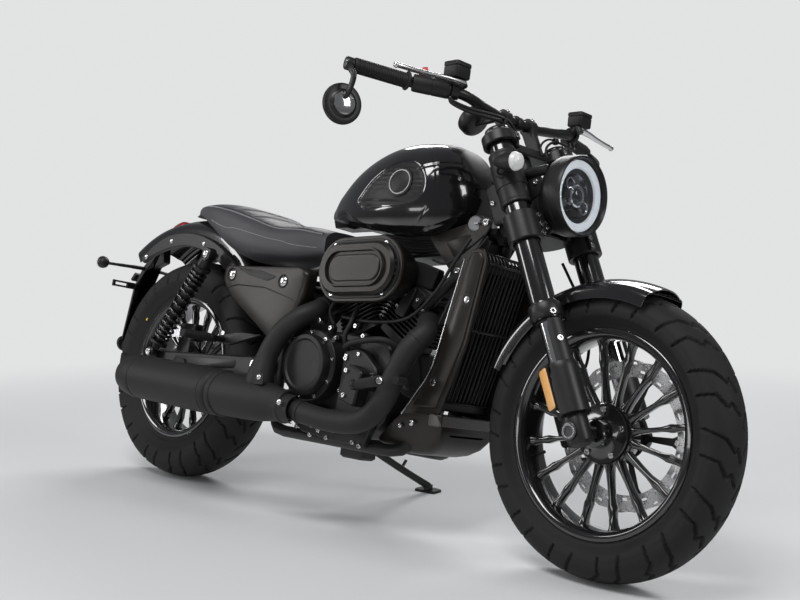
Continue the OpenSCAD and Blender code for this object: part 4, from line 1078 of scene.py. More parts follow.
# ---------------------------------------------------------------- fenders
def fender(bm, r, half, skirt, crown, a0, a1, thick, steps, round_r):
    """A rolled sheet about the wheel centre: crowned top, soft shoulders and straight skirts."""
    out = []
    # Crown
    m = 14
    ymax = half - round_r
    for k in range(m + 1):
        y = ymax * k / m
        out.append((r - crown + sqrt(crown ** 2 - y ** 2), y))
    # Shoulder
    x0 = out[-1][0]
    for k in range(1, 9):
        a = pi / 2 * k / 8
        out.append((x0 - round_r * 1.15 * (1 - cos(a)), ymax + round_r * sin(a)))
    out += [(r - skirt + 6, half), (r - skirt, half)]
    nn = len(out)
    inn = []
    for k in range(nn):
        p, q = Vector(out[max(k - 1, 0)]), Vector(out[min(k + 1, nn - 1)])
        d = (q - p).normalized()
        inn.append((out[k][0] - d.y * thick, out[k][1] + d.x * thick))
    ring = [(x, -y) for x, y in reversed(out)] + out[1:] + list(reversed(inn)) \
        + [(x, -y) for x, y in inn[1:]]
    rows = []
    for i in range(steps + 1):
        t = i / steps
        a = a0 + (a1 - a0) * t
        rows.append([(x * cos(a), y, x * sin(a)) for x, y in ring])
    rings(bm, rows)
    bmesh.ops.recalc_face_normals(bm, faces=bm.faces)


def fenders():
    """Rolled fenders, and the pads that hold the front one to the fork."""
    bm = bmesh.new()
    fender(bm, 440, 90, 68, 130, radians(38.3), radians(127.6), 3.0, 96, 22)
    ob = finish_mesh("rear_rolled_fender", bm, REAR_WHEEL, "chassis", "gloss",
                     bevel=1.2, smooth=50)
    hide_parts("rear_fender")
    bm = bmesh.new()
    fender(bm, 322, 70, 48, 110, radians(70.4), radians(157.8), 2.6, 96, 18)
    ob = finish_mesh("front_rolled_fender", bm, FRONT_WHEEL, "steering", "gloss",
                     bevel=1.0, smooth=50)
    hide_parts("front_fender")
    bm = bmesh.new()
    box(bm, (OFFSET - 21, 66.4, 556), (OFFSET + 21, 73.5, 598), 2)
    for u in (566, 588):
        bolt(bm, (OFFSET - 8, 66.3, u), RIGHT, 5, 3, dome=True)
    finish_mesh("fender_pads", bm, FORK, "steering", "gloss", mirrored=True)


def fender_rails():
    """Pressed struts along both sides of the rear fender, with bolts."""
    bm = bmesh.new()
    rl = []
    for i in range(61):
        a = radians(40.4 + 83 * i / 60)
        lo = 346 + 5 * smooth01((i - 46) / 14)
        hi = 386.4 - 14 * smooth01((i - 44) / 16)
        ring = []
        for x, y in ((lo, 91), (lo, 99), (lo + 3, 103.2), (hi - 3, 103.2), (hi, 99), (hi, 91),
                     (hi - 5, 90.2), (lo + 5, 90.2)):
            ring.append((x * cos(a), y, x * sin(a)))
        rl.append(ring)
    rings(bm, rl)
    for deg in (47, 75, 100, 120):
        a = radians(deg)
        rr = 366 - (6 if deg > 110 else 0)
        bolt(bm, (rr * cos(a), 103, rr * sin(a)), LEFT, 8, 5, dome=True, mat=1)
    ob = finish_mesh("fender_side_rails", bm, REAR_WHEEL, "chassis", ["satin", "steel"],
                     mirrored=True, smooth=35)
    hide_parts("fender_rails")


# ---------------------------------------------------------------- side covers
def side_covers():
    """Smooth side covers with a dark wedge, painted shade of the arrow recess, and two screws."""
    bm = bmesh.new()
    out = rounded([(256, 566), (262, 604), (570, 606), (598, 592), (594, 540), (566, 472),
                   (530, 416), (494, 408), (300, 521)], [16, 12, 14, 12, 30, 30, 16, 22, 30], 6)
    rl = []
    for y, k in ((113, 1), (136, 1), (143, 0.985), (147, 0.955), (148.6, 0.9), (148.9, 0.5)):
        rl.append([(430 + (p.x - 430) * k, y, 532 + (p.y - 532) * k) for p in reversed(out)])
    rings(bm, rl)
    bmesh.ops.recalc_face_normals(bm, faces=bm.faces)
    # Dark wedge below the top edge, a raised slab painted dark as the shade of the arrow recess, and a
    # crease across the panel
    recess_shade_wedge = rounded([(327, 596), (418, 592), (482, 577), (449, 565), (373, 578)], 4, 4)
    slab(bm, recess_shade_wedge, 147.4, 150.2, 1, 0.8)
    tube(bm, [(278, 148, 540), (330, 150.4, 552), (440, 150.8, 548), (560, 149, 520)],
         [0.6, 1.6, 1.6, 0.6], 10)
    for x, z in ((300, 578), (510, 566)):
        lathe(bm, [(18, 147.6), (18, 149.8), (15.5, 151.4), (14.5, 149)], (x, 0, z), LEFT, 40)
        bolt(bm, (x, 148, z), LEFT, 13.4, 5.6, dome=True, mat=2)
    ob = finish_mesh("side_panels", bm, BIKE, "chassis", ["warm", "plastic", "steel"],
                     mirrored=True, smooth=32)
    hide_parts("side_covers")


def battery_box():
    """Battery case with its two straps."""
    bm = bmesh.new()
    box(bm, (411, -42, 433), (519, 42, 546), 4)
    for z in (450, 528):
        box(bm, (409.6, -43, z), (520.2, 43, z + 12), 1)
    ob = finish_mesh("battery_case", bm, BIKE, "chassis", "plastic", smooth=30)
    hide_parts("battery_box")


# ---------------------------------------------------------------- frame, swingarm and shocks
NECK = on_axis(834, 20)
DOWN_FOOT = Vector((938, 62, 215))


def frame_tubes():
    """Backbone, the two cradle loops, seat rails and cross tubes."""
    bm = bmesh.new()
    tube(bm, [NECK + Vector((-66, 0, -27)), (1000, 0, 712), (900, 0, 689), (660, 0, 672)], 19, 24)
    for s in (1, -1):
        def f(x, y, z):
            return (x, y * s, z)
        top = NECK + Vector((-80, 42 * s, -45))
        tube(bm, [top, top.lerp(Vector(f(*DOWN_FOOT)), 0.94), f(935, 66, 206), f(925, 78, 196),
                  f(905, 90, 191), f(880, 95, 190), f(540, 95, 190), f(505, 89, 194),
                  f(482, 78, 206), f(462, 66, 228), f(452, 60.5, 250), f(450, 60, 300),
                  f(450, 60, 426), f(453, 61.5, 446), f(470, 69, 478), f(532, 95, 586)],
             [16.4] * 3 + [14.3] * 13, 24)
        tube(bm, [f(650, 2, 671.5), f(612, 40, 640), f(570, 88, 605), f(556, 97, 599),
                  f(535, 98, 595), f(400, 98, 575), f(300, 98, 546)], [14.3] * 4 + [12.4] * 3, 22)
        rod(bm, NECK + Vector((-90, 0, -40)), NECK + Vector((-90, 58 * s, -40)), 11, 20)
    for a, b, r in (((450, 60, 420), (450, -60, 420), 11.4), ((520, 94, 190), (520, -94, 190), 10.4),
                    ((400, 97, 575), (400, -97, 575), 10.4)):
        rod(bm, a, b, r, 20)
    ob = finish_mesh("welded_frame", bm, BIKE, "chassis", "satin", smooth=60)
    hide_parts("frame")


def neck_gussets():
    """Gusset plates over the neck, with their bolts."""
    bm = bmesh.new()
    g = [(NECK.x - 58, NECK.z + 6), (NECK.x - 230, NECK.z - 42), (NECK.x - 139, NECK.z - 136),
         (NECK.x - 117, NECK.z - 136), (NECK.x - 44, NECK.z - 6)]
    slab(bm, rounded(g, [10, 14, 8, 8, 10], 5), 60.2, 64.4, 0, 1.2)
    hole = [(NECK.x - 100, NECK.z - 34), (NECK.x - 176, NECK.z - 52), (NECK.x - 132, NECK.z - 104)]
    slab(bm, rounded(hole, 12, 5), 64, 66, 0, 1.6)
    bolts(bm, ((NECK.x - 128, NECK.z - 122), (NECK.x - 62, NECK.z - 8)), 64.4, 9, 5, mat=1)
    rod(bm, (NECK.x - 128, 58, NECK.z - 122), (NECK.x - 128, 62, NECK.z - 122), 13, 20, mat=0)
    finish_mesh("neck_gussets", bm, BIKE, "chassis", ["warm", "steel"],
                mirrored=True, smooth=32)


def steering_head():
    """Steering head with its cover plates."""
    bm = bmesh.new()
    axis = (on_axis(1000) - on_axis(0)).normalized()
    lathe(bm, [(17.6, 0), (30.4, 0), (30.9, 2), (30.9, 16), (28.6, 20), (28.6, 150), (30.9, 156),
               (30.9, 171), (30, 173), (17.6, 173)], on_axis(804.5), axis, 48, loop=True)
    fwd = Vector((cos(RAKE), 0, sin(RAKE)))

    def hp(f, u):
        p = on_axis(u) + fwd * f
        return (p.x, p.z)
    for s in (1, -1):
        slab(bm, rounded([hp(-22, 830), hp(-75, 846), hp(-75, 942), hp(-22, 944)], 9, 4),
             33 * s, 41.8 * s, 0, 2)
    slab(bm, [hp(-14, 822), hp(-70, 822), hp(-70, 938), hp(-14, 938)], -33, 33, 0, 1)
    for f, u in ((-34, 930), (-34, 846), (-64, 900)):
        p = on_axis(u) + fwd * f
        for s in (1, -1):
            bolt(bm, (p.x, 41.8 * s, p.z), (0, s, 0), 6, 4, mat=1)
    ob = finish_mesh("steering_head_cast", bm, BIKE, "chassis", ["satin", "steel"],
                     smooth=35)
    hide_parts("steering_head")


def swingarm():
    """Box-section arms, their pivot, cross tube and chain adjusters."""
    bm = bmesh.new()
    out = rounded([(-50, 302), (-43, 350), (60, 354.5), (415, 368), (445, 345), (415, 320),
                   (60, 292)], [8, 10, 30, 16, 16, 16, 30], 4)
    for s in (1, -1):
        slab(bm, out, 104.4 * s, 125.6 * s, 0, 4)
        inner = rounded([(70, 302), (70, 344), (340, 354), (340, 331)], 10, 4)
        slab(bm, inner, 125.4 * s, 127 * s, 0, 1)
        rod(bm, (-18, 108 * s, 345), (-18, 125.6 * s, 345), 13.6, 20)
        bolt(bm, (425, 127 * s, 345), (0, s, 0), 16, 8, mat=1)
        # Chain adjuster blocks and their bolts
        slab(bm, rounded([(-30, 303), (-30, 329), (32, 331), (32, 301)], 5, 3), 125.8 * s, 128.4 * s,
             1, 1)
        rod(bm, (-50, 115 * s, 316), (-66, 115 * s, 316), 4, 12, mat=1)
        bolt(bm, (-50, 115 * s, 316), (-1, 0, 0), 8, 5, mat=1)
    rod(bm, (425, -107, 345), (425, 107, 345), 24.6, 32)
    box(bm, (351, -106, 326), (383, 106, 364), 5)
    ob = finish_mesh("box_swingarm", bm, BIKE, "chassis", ["satin", "steel"],
                     smooth=35)
    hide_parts("swingarm")


def rear_axle():
    """Rear axle, its spacers and nuts."""
    bm = bmesh.new()
    for s in (1, -1):
        rod(bm, (0, 60 * s, 315), (0, 103 * s, 315), 15.5, 28)
        bolt(bm, (0, 128.2 * s, 315), (0, s, 0), 15.6, 7, mat=0)
        rod(bm, (0, 130 * s, 315), (0, 135.6 * s, 315), 8.5, 18)
    rod(bm, (0, -128, 315), (0, 128, 315), 9.9, 24)
    ob = finish_mesh("rear_axle_and_nuts", bm, BIKE, "chassis", "steel", smooth=35)
    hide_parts("rear_axle")


def rear_shocks():
    """Shock absorbers: eyes, body and collars, then the coil."""
    low, top = Vector((-18, 140, 345)), Vector((176, 140, 632))
    d = (low - top).normalized()
    L = (low - top).length
    bm = bmesh.new()
    lathe(bm, [(8, 10), (13, 10), (17.6, 16), (17.6, 40), (26, 42), (26.6, 45), (26.6, 49),
               (22, 50.5), (17.2, 52), (17.2, 200), (15, 204), (12, 206), (12, L - 46),
               (25, L - 44), (26.6, L - 42), (26.6, L - 36), (20, L - 33), (12, L - 24), (9, L - 12)],
          top, d, 40)
    for c, r, yy in ((top, 18.4, 13.6), (low, 14.6, 13.6)):
        lathe(bm, [(8, -yy), (r - 2, -yy), (r, -yy + 2), (r, yy - 2), (r - 2, yy), (8, yy)],
              c, LEFT, 40, loop=True)
        lathe(bm, [(7.9, -yy + 1), (r - 5, -yy - 0.2), (7.9, -yy - 0.3)], c, LEFT, 24, 1)
    bolt(bm, (top.x, 154.3, top.z), LEFT, 12, 5.4, dome=True, mat=2)
    rod(bm, (top.x, 112, top.z), (top.x, 157, top.z), 7.6, 20, mat=2)
    bolt(bm, (low.x, 154.3, low.z), LEFT, 10, 5.4, mat=2)
    rod(bm, (low.x, 128, low.z), (low.x, 157, low.z), 7.6, 20, mat=2)
    ob = finish_mesh("shock_bodies", bm, BIKE, "chassis", ["satin", "rubber", "steel"],
                     mirrored=True, smooth=35)
    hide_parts("rear_shocks")
    bm = bmesh.new()
    u, w, dd = basis(d)
    turns, n = 13.5, 13 * 26
    start, stop = 53, L - 47
    path = []
    for i in range(n + 1):
        t = i / n
        a = 2 * pi * turns * t
        # The end turns close up against their seats
        h = start + 3.2 + (stop - start - 6.4) * (t + 0.055 * sin(2 * pi * t) * -1)
        path.append(top + dd * h + 21.6 * (u * cos(a) + w * sin(a)))
    tube(bm, path, 4.1, 12)
    ob = finish_mesh("shock_coils", bm, BIKE, "chassis", "gloss", mirrored=True,
                     smooth=80)
    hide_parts("shock_springs")


# ---------------------------------------------------------------- engine
CRANK, CLUTCH = Vector((770, 0, 370)), Vector((645, 0, 364))
FRONT_LEAN, REAR_LEAN = radians(31), radians(-25)


def crankcase():
    """Cast crankcase with its joint flange and front webs."""
    bm = bmesh.new()
    case = rounded([(545, 260), (585, 205.3), (820, 205.3), (880, 250), (898, 330), (872, 430),
                    (770, 450), (650, 455), (560, 440), (520, 350)], 14, 4)
    slab(bm, case, -104.6, 104.6, 0, 5)
    # Joint flange down the middle and webs on the front
    slab(bm, case, -6, 6, 0, 1)
    for y in (-78, -46, 46, 78):
        slab(bm, [(893, 300), (897.5, 330), (880, 398), (872, 398), (884, 300)], y - 3, y + 3, 0, 1)
    ob = finish_mesh("cast_crankcase", bm, BIKE, "chassis", "engine", smooth=32)
    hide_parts("crankcase")


def engine_covers():
    """Covers on both sides of the crankcase."""
    bm = bmesh.new()
    # Right side: clutch cover, outer plate and oil filler
    c = (CLUTCH.x, 0, CLUTCH.z)
    lathe(bm, [(0, 163.2), (50, 163.2), (58, 163.6), (61, 166.2), (64, 167.6), (68, 167.8), (72, 166),
               (74, 160), (74.5, 143), (78, 141.8), (86, 141.4), (87.6, 139.5), (87.6, 105.4), (0, 105.4)],
          c, RIGHT, 96)
    lathe(bm, [(60.5, 166.6), (62.5, 168), (65, 168), (66.5, 167.0)], c, RIGHT, 96)
    for k in range(9):
        a = turn(k + 0.35, 9)
        bolt(bm, (c[0] + 80.8 * cos(a), -141.4, c[2] + 80.8 * sin(a)), RIGHT, 5.6, 5, mat=1)
    out = rounded([(742, 240), (815, 223), (859, 270), (864, 370), (800, 419), (748, 409)], 14, 4)
    slab(bm, out, -131.6, -105.4, 0, 4)
    lathe(bm, [(0, 136), (20, 136), (24, 133), (27, 131.4), (30, 131)], (806, 0, 332), RIGHT, 48)
    bolts(bm, ((760, 256), (812, 240), (847, 284), (851, 358), (800, 403), (760, 396)), -131.6,
          5.2, 4.4, mat=1)
    # Sump plate with its row of bolts
    slab(bm, rounded([(575, 246), (592, 214), (735, 210), (735, 268), (700, 262), (640, 262)], 8, 3),
         -118, -105, 0, 2.5)
    bolts(bm, ((600, 226), (640, 226), (680, 226), (720, 228)), -118, 5.4, 4.6, mat=1)
    # Left side: generator cover with its cap, and the sprocket cover
    c = (CRANK.x, 0, CRANK.z)
    lathe(bm, [(0, 150.4), (24, 150.4), (26, 152.2), (54, 152.4), (57, 155.8), (60, 153), (66, 147.6),
               (76, 147), (79.6, 143), (79.6, 105.4), (0, 105.4)], c, LEFT, 96)
    lathe(bm, [(0, 153.4), (15, 153.4), (17, 150.4)], c, LEFT, 40, 1)
    for k in range(6):
        a = turn(k + 0.5, 6)
        bolt(bm, (c[0] + 72 * cos(a), 147.2, c[2] + 72 * sin(a)), LEFT, 5.2, 4.4, mat=1)
    out = rounded([(561, 291), (679, 281), (679, 419), (571, 429)], 18, 4)
    slab(bm, out, 105.4, 131.6, 0, 5)
    slab(bm, [(p.x * 0.74 + 163, p.y * 0.74 + 92) for p in out], 131, 134.5, 0, 2)
    bolts(bm, ((574, 303), (668, 292), (668, 408), (582, 416)), 131.6, 5.2, 4.4, mat=1)
    ob = finish_mesh("engine_side_covers", bm, BIKE, "chassis", ["engine", "steel"],
                     smooth=35)
    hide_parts("engine_covers")


def cylinders():
    """Finned barrels and heads of the V-twin, bolted down and leaning apart."""
    for name, lean, node in (("front_cylinder_cast", FRONT_LEAN, "front_cylinder"),
                             ("rear_cylinder_cast", REAR_LEAN, "rear_cylinder")):
        bm = bmesh.new()
        cyl = T(*CRANK) @ R(lean, 'Y')
        base = 118
        sq = rounded([(-60, -58), (60, -58), (60, 58), (-60, 58)], 20, 5)

        def plate(outline, z0, z1, edge=1.5):
            slab(bm, outline, z0, z1, 0, edge, 'XY')
        low = 96 if lean > 0 else 100
        plate([(x * 0.9, y * 0.95) for x, y in sq], low, base + 4)
        for i in range(7):
            z = base + 2 + i * 10.4
            fin = rounded([(-66, -68), (66, -68), (66, 68), (-66, 68)], 16, 5)
            plate(fin, z, z + 3.6, 1.1)
            plate([(x * 0.93, y * 0.93) for x, y in sq], z + 3.2, z + 10.6, 0.4)
        plate(rounded([(-60, -64), (60, -64), (60, 64), (-60, 64)], 10, 4), base + 76, base + 110, 3)
        plate(rounded([(-63, -69), (63, -69), (63, 69), (-63, 69)], 8, 4), base + 80, base + 86, 1.2)
        plate(rounded([(-66, -72), (66, -72), (66, 72), (-66, 72)], 14, 4), base + 110, base + 143, 6)
        plate(rounded([(-66, -72), (66, -72), (66, 72), (-66, 72)], 14, 4), base + 108.6, base + 111.4, 0.8)
        plate(rounded([(-52, -58), (52, -58), (52, 58), (-52, 58)], 12, 4), base + 142, base + 154, 4)
        for sx in (-1, 1):
            for sy in (-1, 1):
                bolt(bm, (56 * sx, 62 * sy, base + 143), UP, 5.5, 4, mat=1)
        # Cover plates on both sides of the head, with two bolts each
        for s in (1, -1):
            pl = rounded([(-40, base + 84), (40, base + 84), (46, base + 128), (-46, base + 128)], 8, 4)
            slab(bm, pl, 71 * s, 75 * s, 0, 1.5)
            for x in (-30, 30):
                bolt(bm, (x, 75 * s, base + 106), (0, s, 0), 6, 4.4, mat=1)
        bmesh.ops.transform(bm, matrix=cyl, verts=bm.verts)
        ob = finish_mesh(name, bm, BIKE, "chassis", ["engine", "steel"], smooth=32)
        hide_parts(node)


def air_cleaner():
    """Dished oval cover with a rim, a racetrack ridge, vents and corner screws."""
    bm = bmesh.new()
    m = T(787, 0, 603) @ R(radians(-3), 'Y') @ R(pi / 2, 'X')

    def oval(w, h, y0, y1, edge, mat=0):
        slab(bm, stadium(w, h, 16), y0, y1, mat, edge, 'XY')
    skirt = []
    for w, h, z in ((236, 118, 84.4), (250, 130, 100), (266, 146, 128), (276, 156, 146),
                    (279, 159, 151), (279, 159, 156), (274, 154, 159.6)):
        skirt.append([(x, y, z) for x, y in stadium(w, h, 16)])
    rings(bm, skirt)
    oval(262, 142, 159, 162.4, 1.4, 1)
    oval(246, 128, 158, 176, 7)
    rings(bm, [[(x, y, z) for x, y in stadium(196 - step, 92 - step, 16)]
               for step, z in ((0, 176), (4, 183), (10, 183), (14, 176.2))], caps=False)
    oval(168, 64, 175, 179.4, 2.5)
    for k in (-1, 0, 1):
        for sx in (-1, 1):
            box(bm, (114 * sx - 11, k * 15 - 3.6, 159), (114 * sx + 11, k * 15 + 3.6, 167), 2, 1)
    for sx in (-1, 1):
        for sy in (-1, 1):
            bolt(bm, (84 * sx, 59 * sy, 159.6), UP, 6, 4, mat=2)
            lathe(bm, [(9, 158.5), (9, 161.5), (7.4, 161.8), (7, 159.4)], (84 * sx, 59 * sy, 0),
                  UP, 24)
    bmesh.ops.transform(bm, matrix=m, verts=bm.verts)
    for x, z in ((870, 585), (715, 600)):
        rod(bm, (x, -72.4, z), (x, -86, z), 15.6, 24)
    ob = finish_mesh("air_cleaner_cover", bm, BIKE, "chassis", ["warm", "plastic", "steel"],
                     smooth=32)
    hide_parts("air_cleaner")


def intake():
    """Wiring tray, cables and throttle bodies between the tank and the heads."""
    bm = bmesh.new()
    slab(bm, rounded([(640, 642), (660, 700), (930, 712), (1000, 700), (985, 660), (800, 646)], 12, 4),
         -56, 56, 0, 5)
    for x in (742, 806):
        rod(bm, (x, -40, 604), (x, -40, 668), 27, 32, 3)
        rod(bm, (x, -69, 628), (x, -48, 628), 15, 24, 2)
    for i in range(6):
        y = -62 - 2 * (i % 2)
        tube(bm, spline([Vector((655 + 9 * i, y, 652 + 5 * i)), Vector((760, y - 3, 676 + 5 * i)),
                         Vector((880, y, 664 + 6 * i)), Vector((985, y + 10, 676 + 4 * i))], 6),
             3.4, 10)
    slab(bm, rounded([(801, 653), (898, 638), (964, 620), (948, 572), (876, 586), (806, 640)], 8, 4),
         -76, -50, 0, 3)
    slab(bm, rounded([(955, 560), (985, 672), (1012, 700), (1058, 706), (1052, 668), (1030, 600),
                      (1008, 540)], 10, 4), -46, 46, 0, 4)
    finish_mesh("intake_and_wiring", bm, BIKE, "chassis", "plastic", smooth=35)


def engine_fastenings():
    """Filler box, lower plate, brackets and bolts on the right side."""
    bm = bmesh.new()
    slab(bm, rounded([(805, 378), (852, 361), (838, 278), (782, 293)], 8, 4), -168, -130, 0, 4)
    slab(bm, rounded([(604, 223), (627, 200), (737, 190), (812, 190), (842, 182), (867, 243),
                      (758, 254)], 9, 4), -126, -104, 0, 3)
    slab(bm, rounded([(846, 512), (880, 580), (910, 572), (878, 500)], 8, 4), -84, -68, 0, 2)
    bolts(bm, ((614, 210), (667, 217), (694, 208), (745, 214), (666, 195), (723, 195), (813, 196),
               (836, 190)), -126, 5.4, 4.6, mat=1)
    for x, z in ((679, 460), (701, 436), (711, 352), (672, 304), (764, 470), (795, 447), (740, 313)):
        bolt(bm, (x, -118, z), RIGHT, 6, 6, mat=1)
        rod(bm, (x, -104, z), (x, -118.4, z), 8, 20)
    bolts(bm, ((803, 361),), -168, 6, 5, mat=1)
    bolts(bm, ((759, 390),), -131.6, 6, 5, mat=1)
    bolts(bm, ((804, 303),), -168, 6, 5, mat=1)
    bolts(bm, ((858, 529), (877, 559)), -84, 5.4, 4.4, mat=1)
    for x, z in ((907, 324), (925, 333)):
        rod(bm, (x, -96, z), (x, -124, z), 7, 6, 1, mat=1)
    rod(bm, (619, -104, 486), (619, -138, 486), 9, 20, 1, mat=1)
    rod(bm, (643, -104, 475), (643, -132, 475), 7, 6, 1, mat=1)
    finish_mesh("engine_fastenings", bm, BIKE, "chassis", ["engine", "steel"],
                smooth=35)


def engine_hoses():
    """Hoses and lines that cross the engine's right side."""
    bm = bmesh.new()
    for pts, r in (([(742, -112, 428), (752, -134, 416), (779, -142, 427), (830, -140, 438),
                     (872, -128, 442), (900, -100, 430)], 7.5),
                   ([(752, -108, 520), (750, -124, 476), (742, -130, 442), (744, -116, 412)], 6),
                   ([(1062, -94, 690), (1038, -112, 632), (988, -108, 560), (916, -106, 500),
                     (812, -110, 484), (706, -112, 490)], 4.2),
                   ([(690, -80, 560), (668, -104, 530), (660, -112, 500), (676, -108, 470)], 5)):
        tube(bm, spline([Vector(q) for q in pts], 7), r, 14)
    finish_mesh("engine_hoses", bm, BIKE, "chassis", "rubber", smooth=60)


# ---------------------------------------------------------------- exhaust
def on_crank(lean, x, y, z):
    """A point of a cylinder that leans from the crank, in the machine's frame."""
    return CRANK + Vector((x * cos(lean) + z * sin(lean), y, -x * sin(lean) + z * cos(lean)))


def muffler():
    """Muffler can with its end cap, open outlet and hanger bracket."""
    front, back = Vector((407, -212, 264)), Vector((46, -212, 273))
    d = (back - front).normalized()
    L = (back - front).length
    bm = bmesh.new()
    lathe(bm, [(44, 0.5), (52, 1.5), (57, 6), (59.4, 14), (59.7, 22), (58.6, 23), (58.6, 27),
               (59.7, 28), (59.7, L - 24), (58.4, L - 23), (58.4, L - 18), (59.7, L - 17),
               (59.7, L - 2), (58.5, L + 8), (55.5, L + 26), (51, L + 44), (47, L + 54),
               (44.5, L + 57), (30, L + 57.6), (27, L + 55), (24.6, L + 57.6), (24.2, L + 54),
               (24.2, L - 38), (0, L - 38)], front, d, 96)
    u, w, dd = basis(d)
    for k in range(3):
        a = turn(k, 3) + 0.6
        bolt(bm, front + dd * (L + 56.6) + 36 * (u * cos(a) + w * sin(a)), dd, 4, 2.4, mat=1)
    # Hanger bracket on the outside top
    slab(bm, rounded([(205, 322), (255, 322), (246, 338), (214, 338)], 5, 3), -226, -214, 0, 1.5)
    ob = finish_mesh("muffler_can", bm, BIKE, "chassis", ["exhaust", "steel"],
                     smooth=35)
    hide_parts("muffler")


def exhaust_pipes():
    """Both header pipes, the collector and its heat shield."""
    bm = bmesh.new()
    # Collector, then the two pipes
    path = spline([(408, -212, 264), (440, -211.5, 263.5), (480, -211, 263), (560, -207, 260),
                   (620, -203, 258), (652, -200.4, 256.2)], 6)
    n = len(path)
    rs = [along([55.5, 55.3, 54.4, 50, 41.5, 36.5], i / (n - 1)) for i in range(n)]
    tube(bm, path, rs, 40)
    lathe(bm, [(36, 0), (40, 1), (41.5, 4), (41.5, 10), (40, 13), (36, 14)], (641, -201, 256.6),
          (1, 0.06, -0.05), 48)
    lathe(bm, [(55, 0), (58.4, 1.5), (58.8, 5), (58.8, 14), (57.6, 17), (55, 18)], (409, -212, 264),
          (1, 0.01, -0.01), 48)
    rear_port = on_crank(REAR_LEAN, -62, -30, 215)
    front_port = on_crank(FRONT_LEAN, 62, -40, 215)
    rear = spline([rear_port, rear_port + Vector((-10, -24, -8)), (620, -92, 514),
                   (622, -128, 497), (604, -158, 476), (571, -175, 441), (550, -185, 402),
                   (541, -195, 358), (540, -203, 316), (545, -207, 278)], 8)
    n = len(rear)
    tube(bm, rear, [26.2 + 9 * smooth01((i / (n - 1) - 0.72) / 0.2) for i in range(n)], 36)
    fr = spline([(646, -200, 256), (720, -195, 246), (800, -188, 240), (880, -180, 250),
                 (930, -172, 295), (955, -165, 365), (978, -156, 425), (996, -130, 466),
                 (974, -98, 488), (948, -68, 502), front_port], 8)
    tube(bm, fr, 26.2, 32)
    # Joint rings on the pipes
    for pth, i in ((rear, 18), (fr, 6), (fr, 52)):
        t = (pth[i + 1] - pth[i - 1]).normalized()
        lathe(bm, [(26, -5), (28.2, -4.2), (28.6, 0), (28.2, 4.2), (26, 5)], pth[i], t, 36)
    # Heat shield on the lower pipe and the collector, with its screws
    sh = []
    for i in range(31):
        t = i / 30
        p = Vector((425 + 262 * t, -211 + 12 * t, 263.5 - 12 * t))
        rr = 57.4 - 19.5 * smooth01((t - 0.1) / 0.9)
        ring = []
        for k in range(15):
            a = radians(-78 + 156 * k / 14)
            ring.append((p.x, p.y - rr * cos(a), p.z + rr * sin(a) * 0.92))
        sh.append(ring)
    rings(bm, [r + [(x, y + 2.2, z) for x, y, z in reversed(r)] for r in sh])
    for x, r, ang in ((452, 46, -4), (668, 35, 6)):
        a = radians(ang)
        bolt(bm, (x, -209 - r * cos(a), 262 + r * sin(a)), (0, -cos(a), sin(a)), 8, 4.4, dome=True,
             mat=1)
    # Strap from the collector up to the rear pipe, with its screw
    slab(bm, rounded([(560, 296), (596, 300), (592, 326), (574, 334), (560, 326)], 8, 4), -240, -234,
         0, 1.5)
    bolt(bm, (578, -240, 317), RIGHT, 8, 4.4, dome=True, mat=1)
    # Flanges at the ports
    for p, lean, s in ((rear_port, REAR_LEAN, -1), (front_port, FRONT_LEAN, 1)):
        ax = Vector((cos(lean), 0, -sin(lean))) * s
        lathe(bm, [(26, -2), (36, -2), (37, 0), (37, 7), (26, 8)], p + ax * 5, ax, 36)
    ob = finish_mesh("exhaust_pipes", bm, BIKE, "chassis", ["exhaust", "steel"],
                     smooth=40)
    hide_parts("exhaust_headers")


# ---------------------------------------------------------------- radiator
def radiator():
    """Radiator: tanks, tubes and folded fins."""
    low, top = Vector((1002, 0, 300)), Vector((1084, 0, 655))
    d = top - low
    h = d.length
    m = T(*low) @ R(atan2(d.x, d.z), 'Y')
    bm = bmesh.new()
    for z0, z1 in ((0.4, 26), (h - 34, h - 0.4)):
        box(bm, (-15.6, -91.6, z0), (15.6, 91.6, z1), 4)
    box(bm, (-12, -91.6, 26), (12, -84, h - 34), 1)
    box(bm, (-12, 84, 26), (12, 91.6, h - 34), 1)
    # Flat tubes with folded fins between them
    box(bm, (-6, -84, 26), (2, 84, h - 34), 0.5, 1)
    n = 22
    for i in range(n):
        y = -84 + 168 * (i + 0.5) / n
        box(bm, (-12, y - 1.1, 26), (12, y + 1.1, h - 34), 0.4, 0)
    for i in range(n - 1):
        y = -84 + 168 * (i + 1) / n
        zz = 27.0
        while zz < h - 36:
            vs = [bm.verts.new(v) for v in ((2, y - 2.7, zz), (11, y - 2.7, zz + 1),
                                            (11, y + 2.7, zz + 4), (2, y + 2.7, zz + 3))]
            f = bm.faces.new(vs)
            f.material_index = 1
            zz += 5.2
    lathe(bm, [(0, 8), (14, 8), (16, 5), (16, 0)], (-2, -60, h - 3), UP, 32)
    ob = finish_mesh("radiator_with_fins", bm, BIKE @ m, "chassis", ["plastic", "core"],
                     smooth=32)
    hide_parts("radiator")


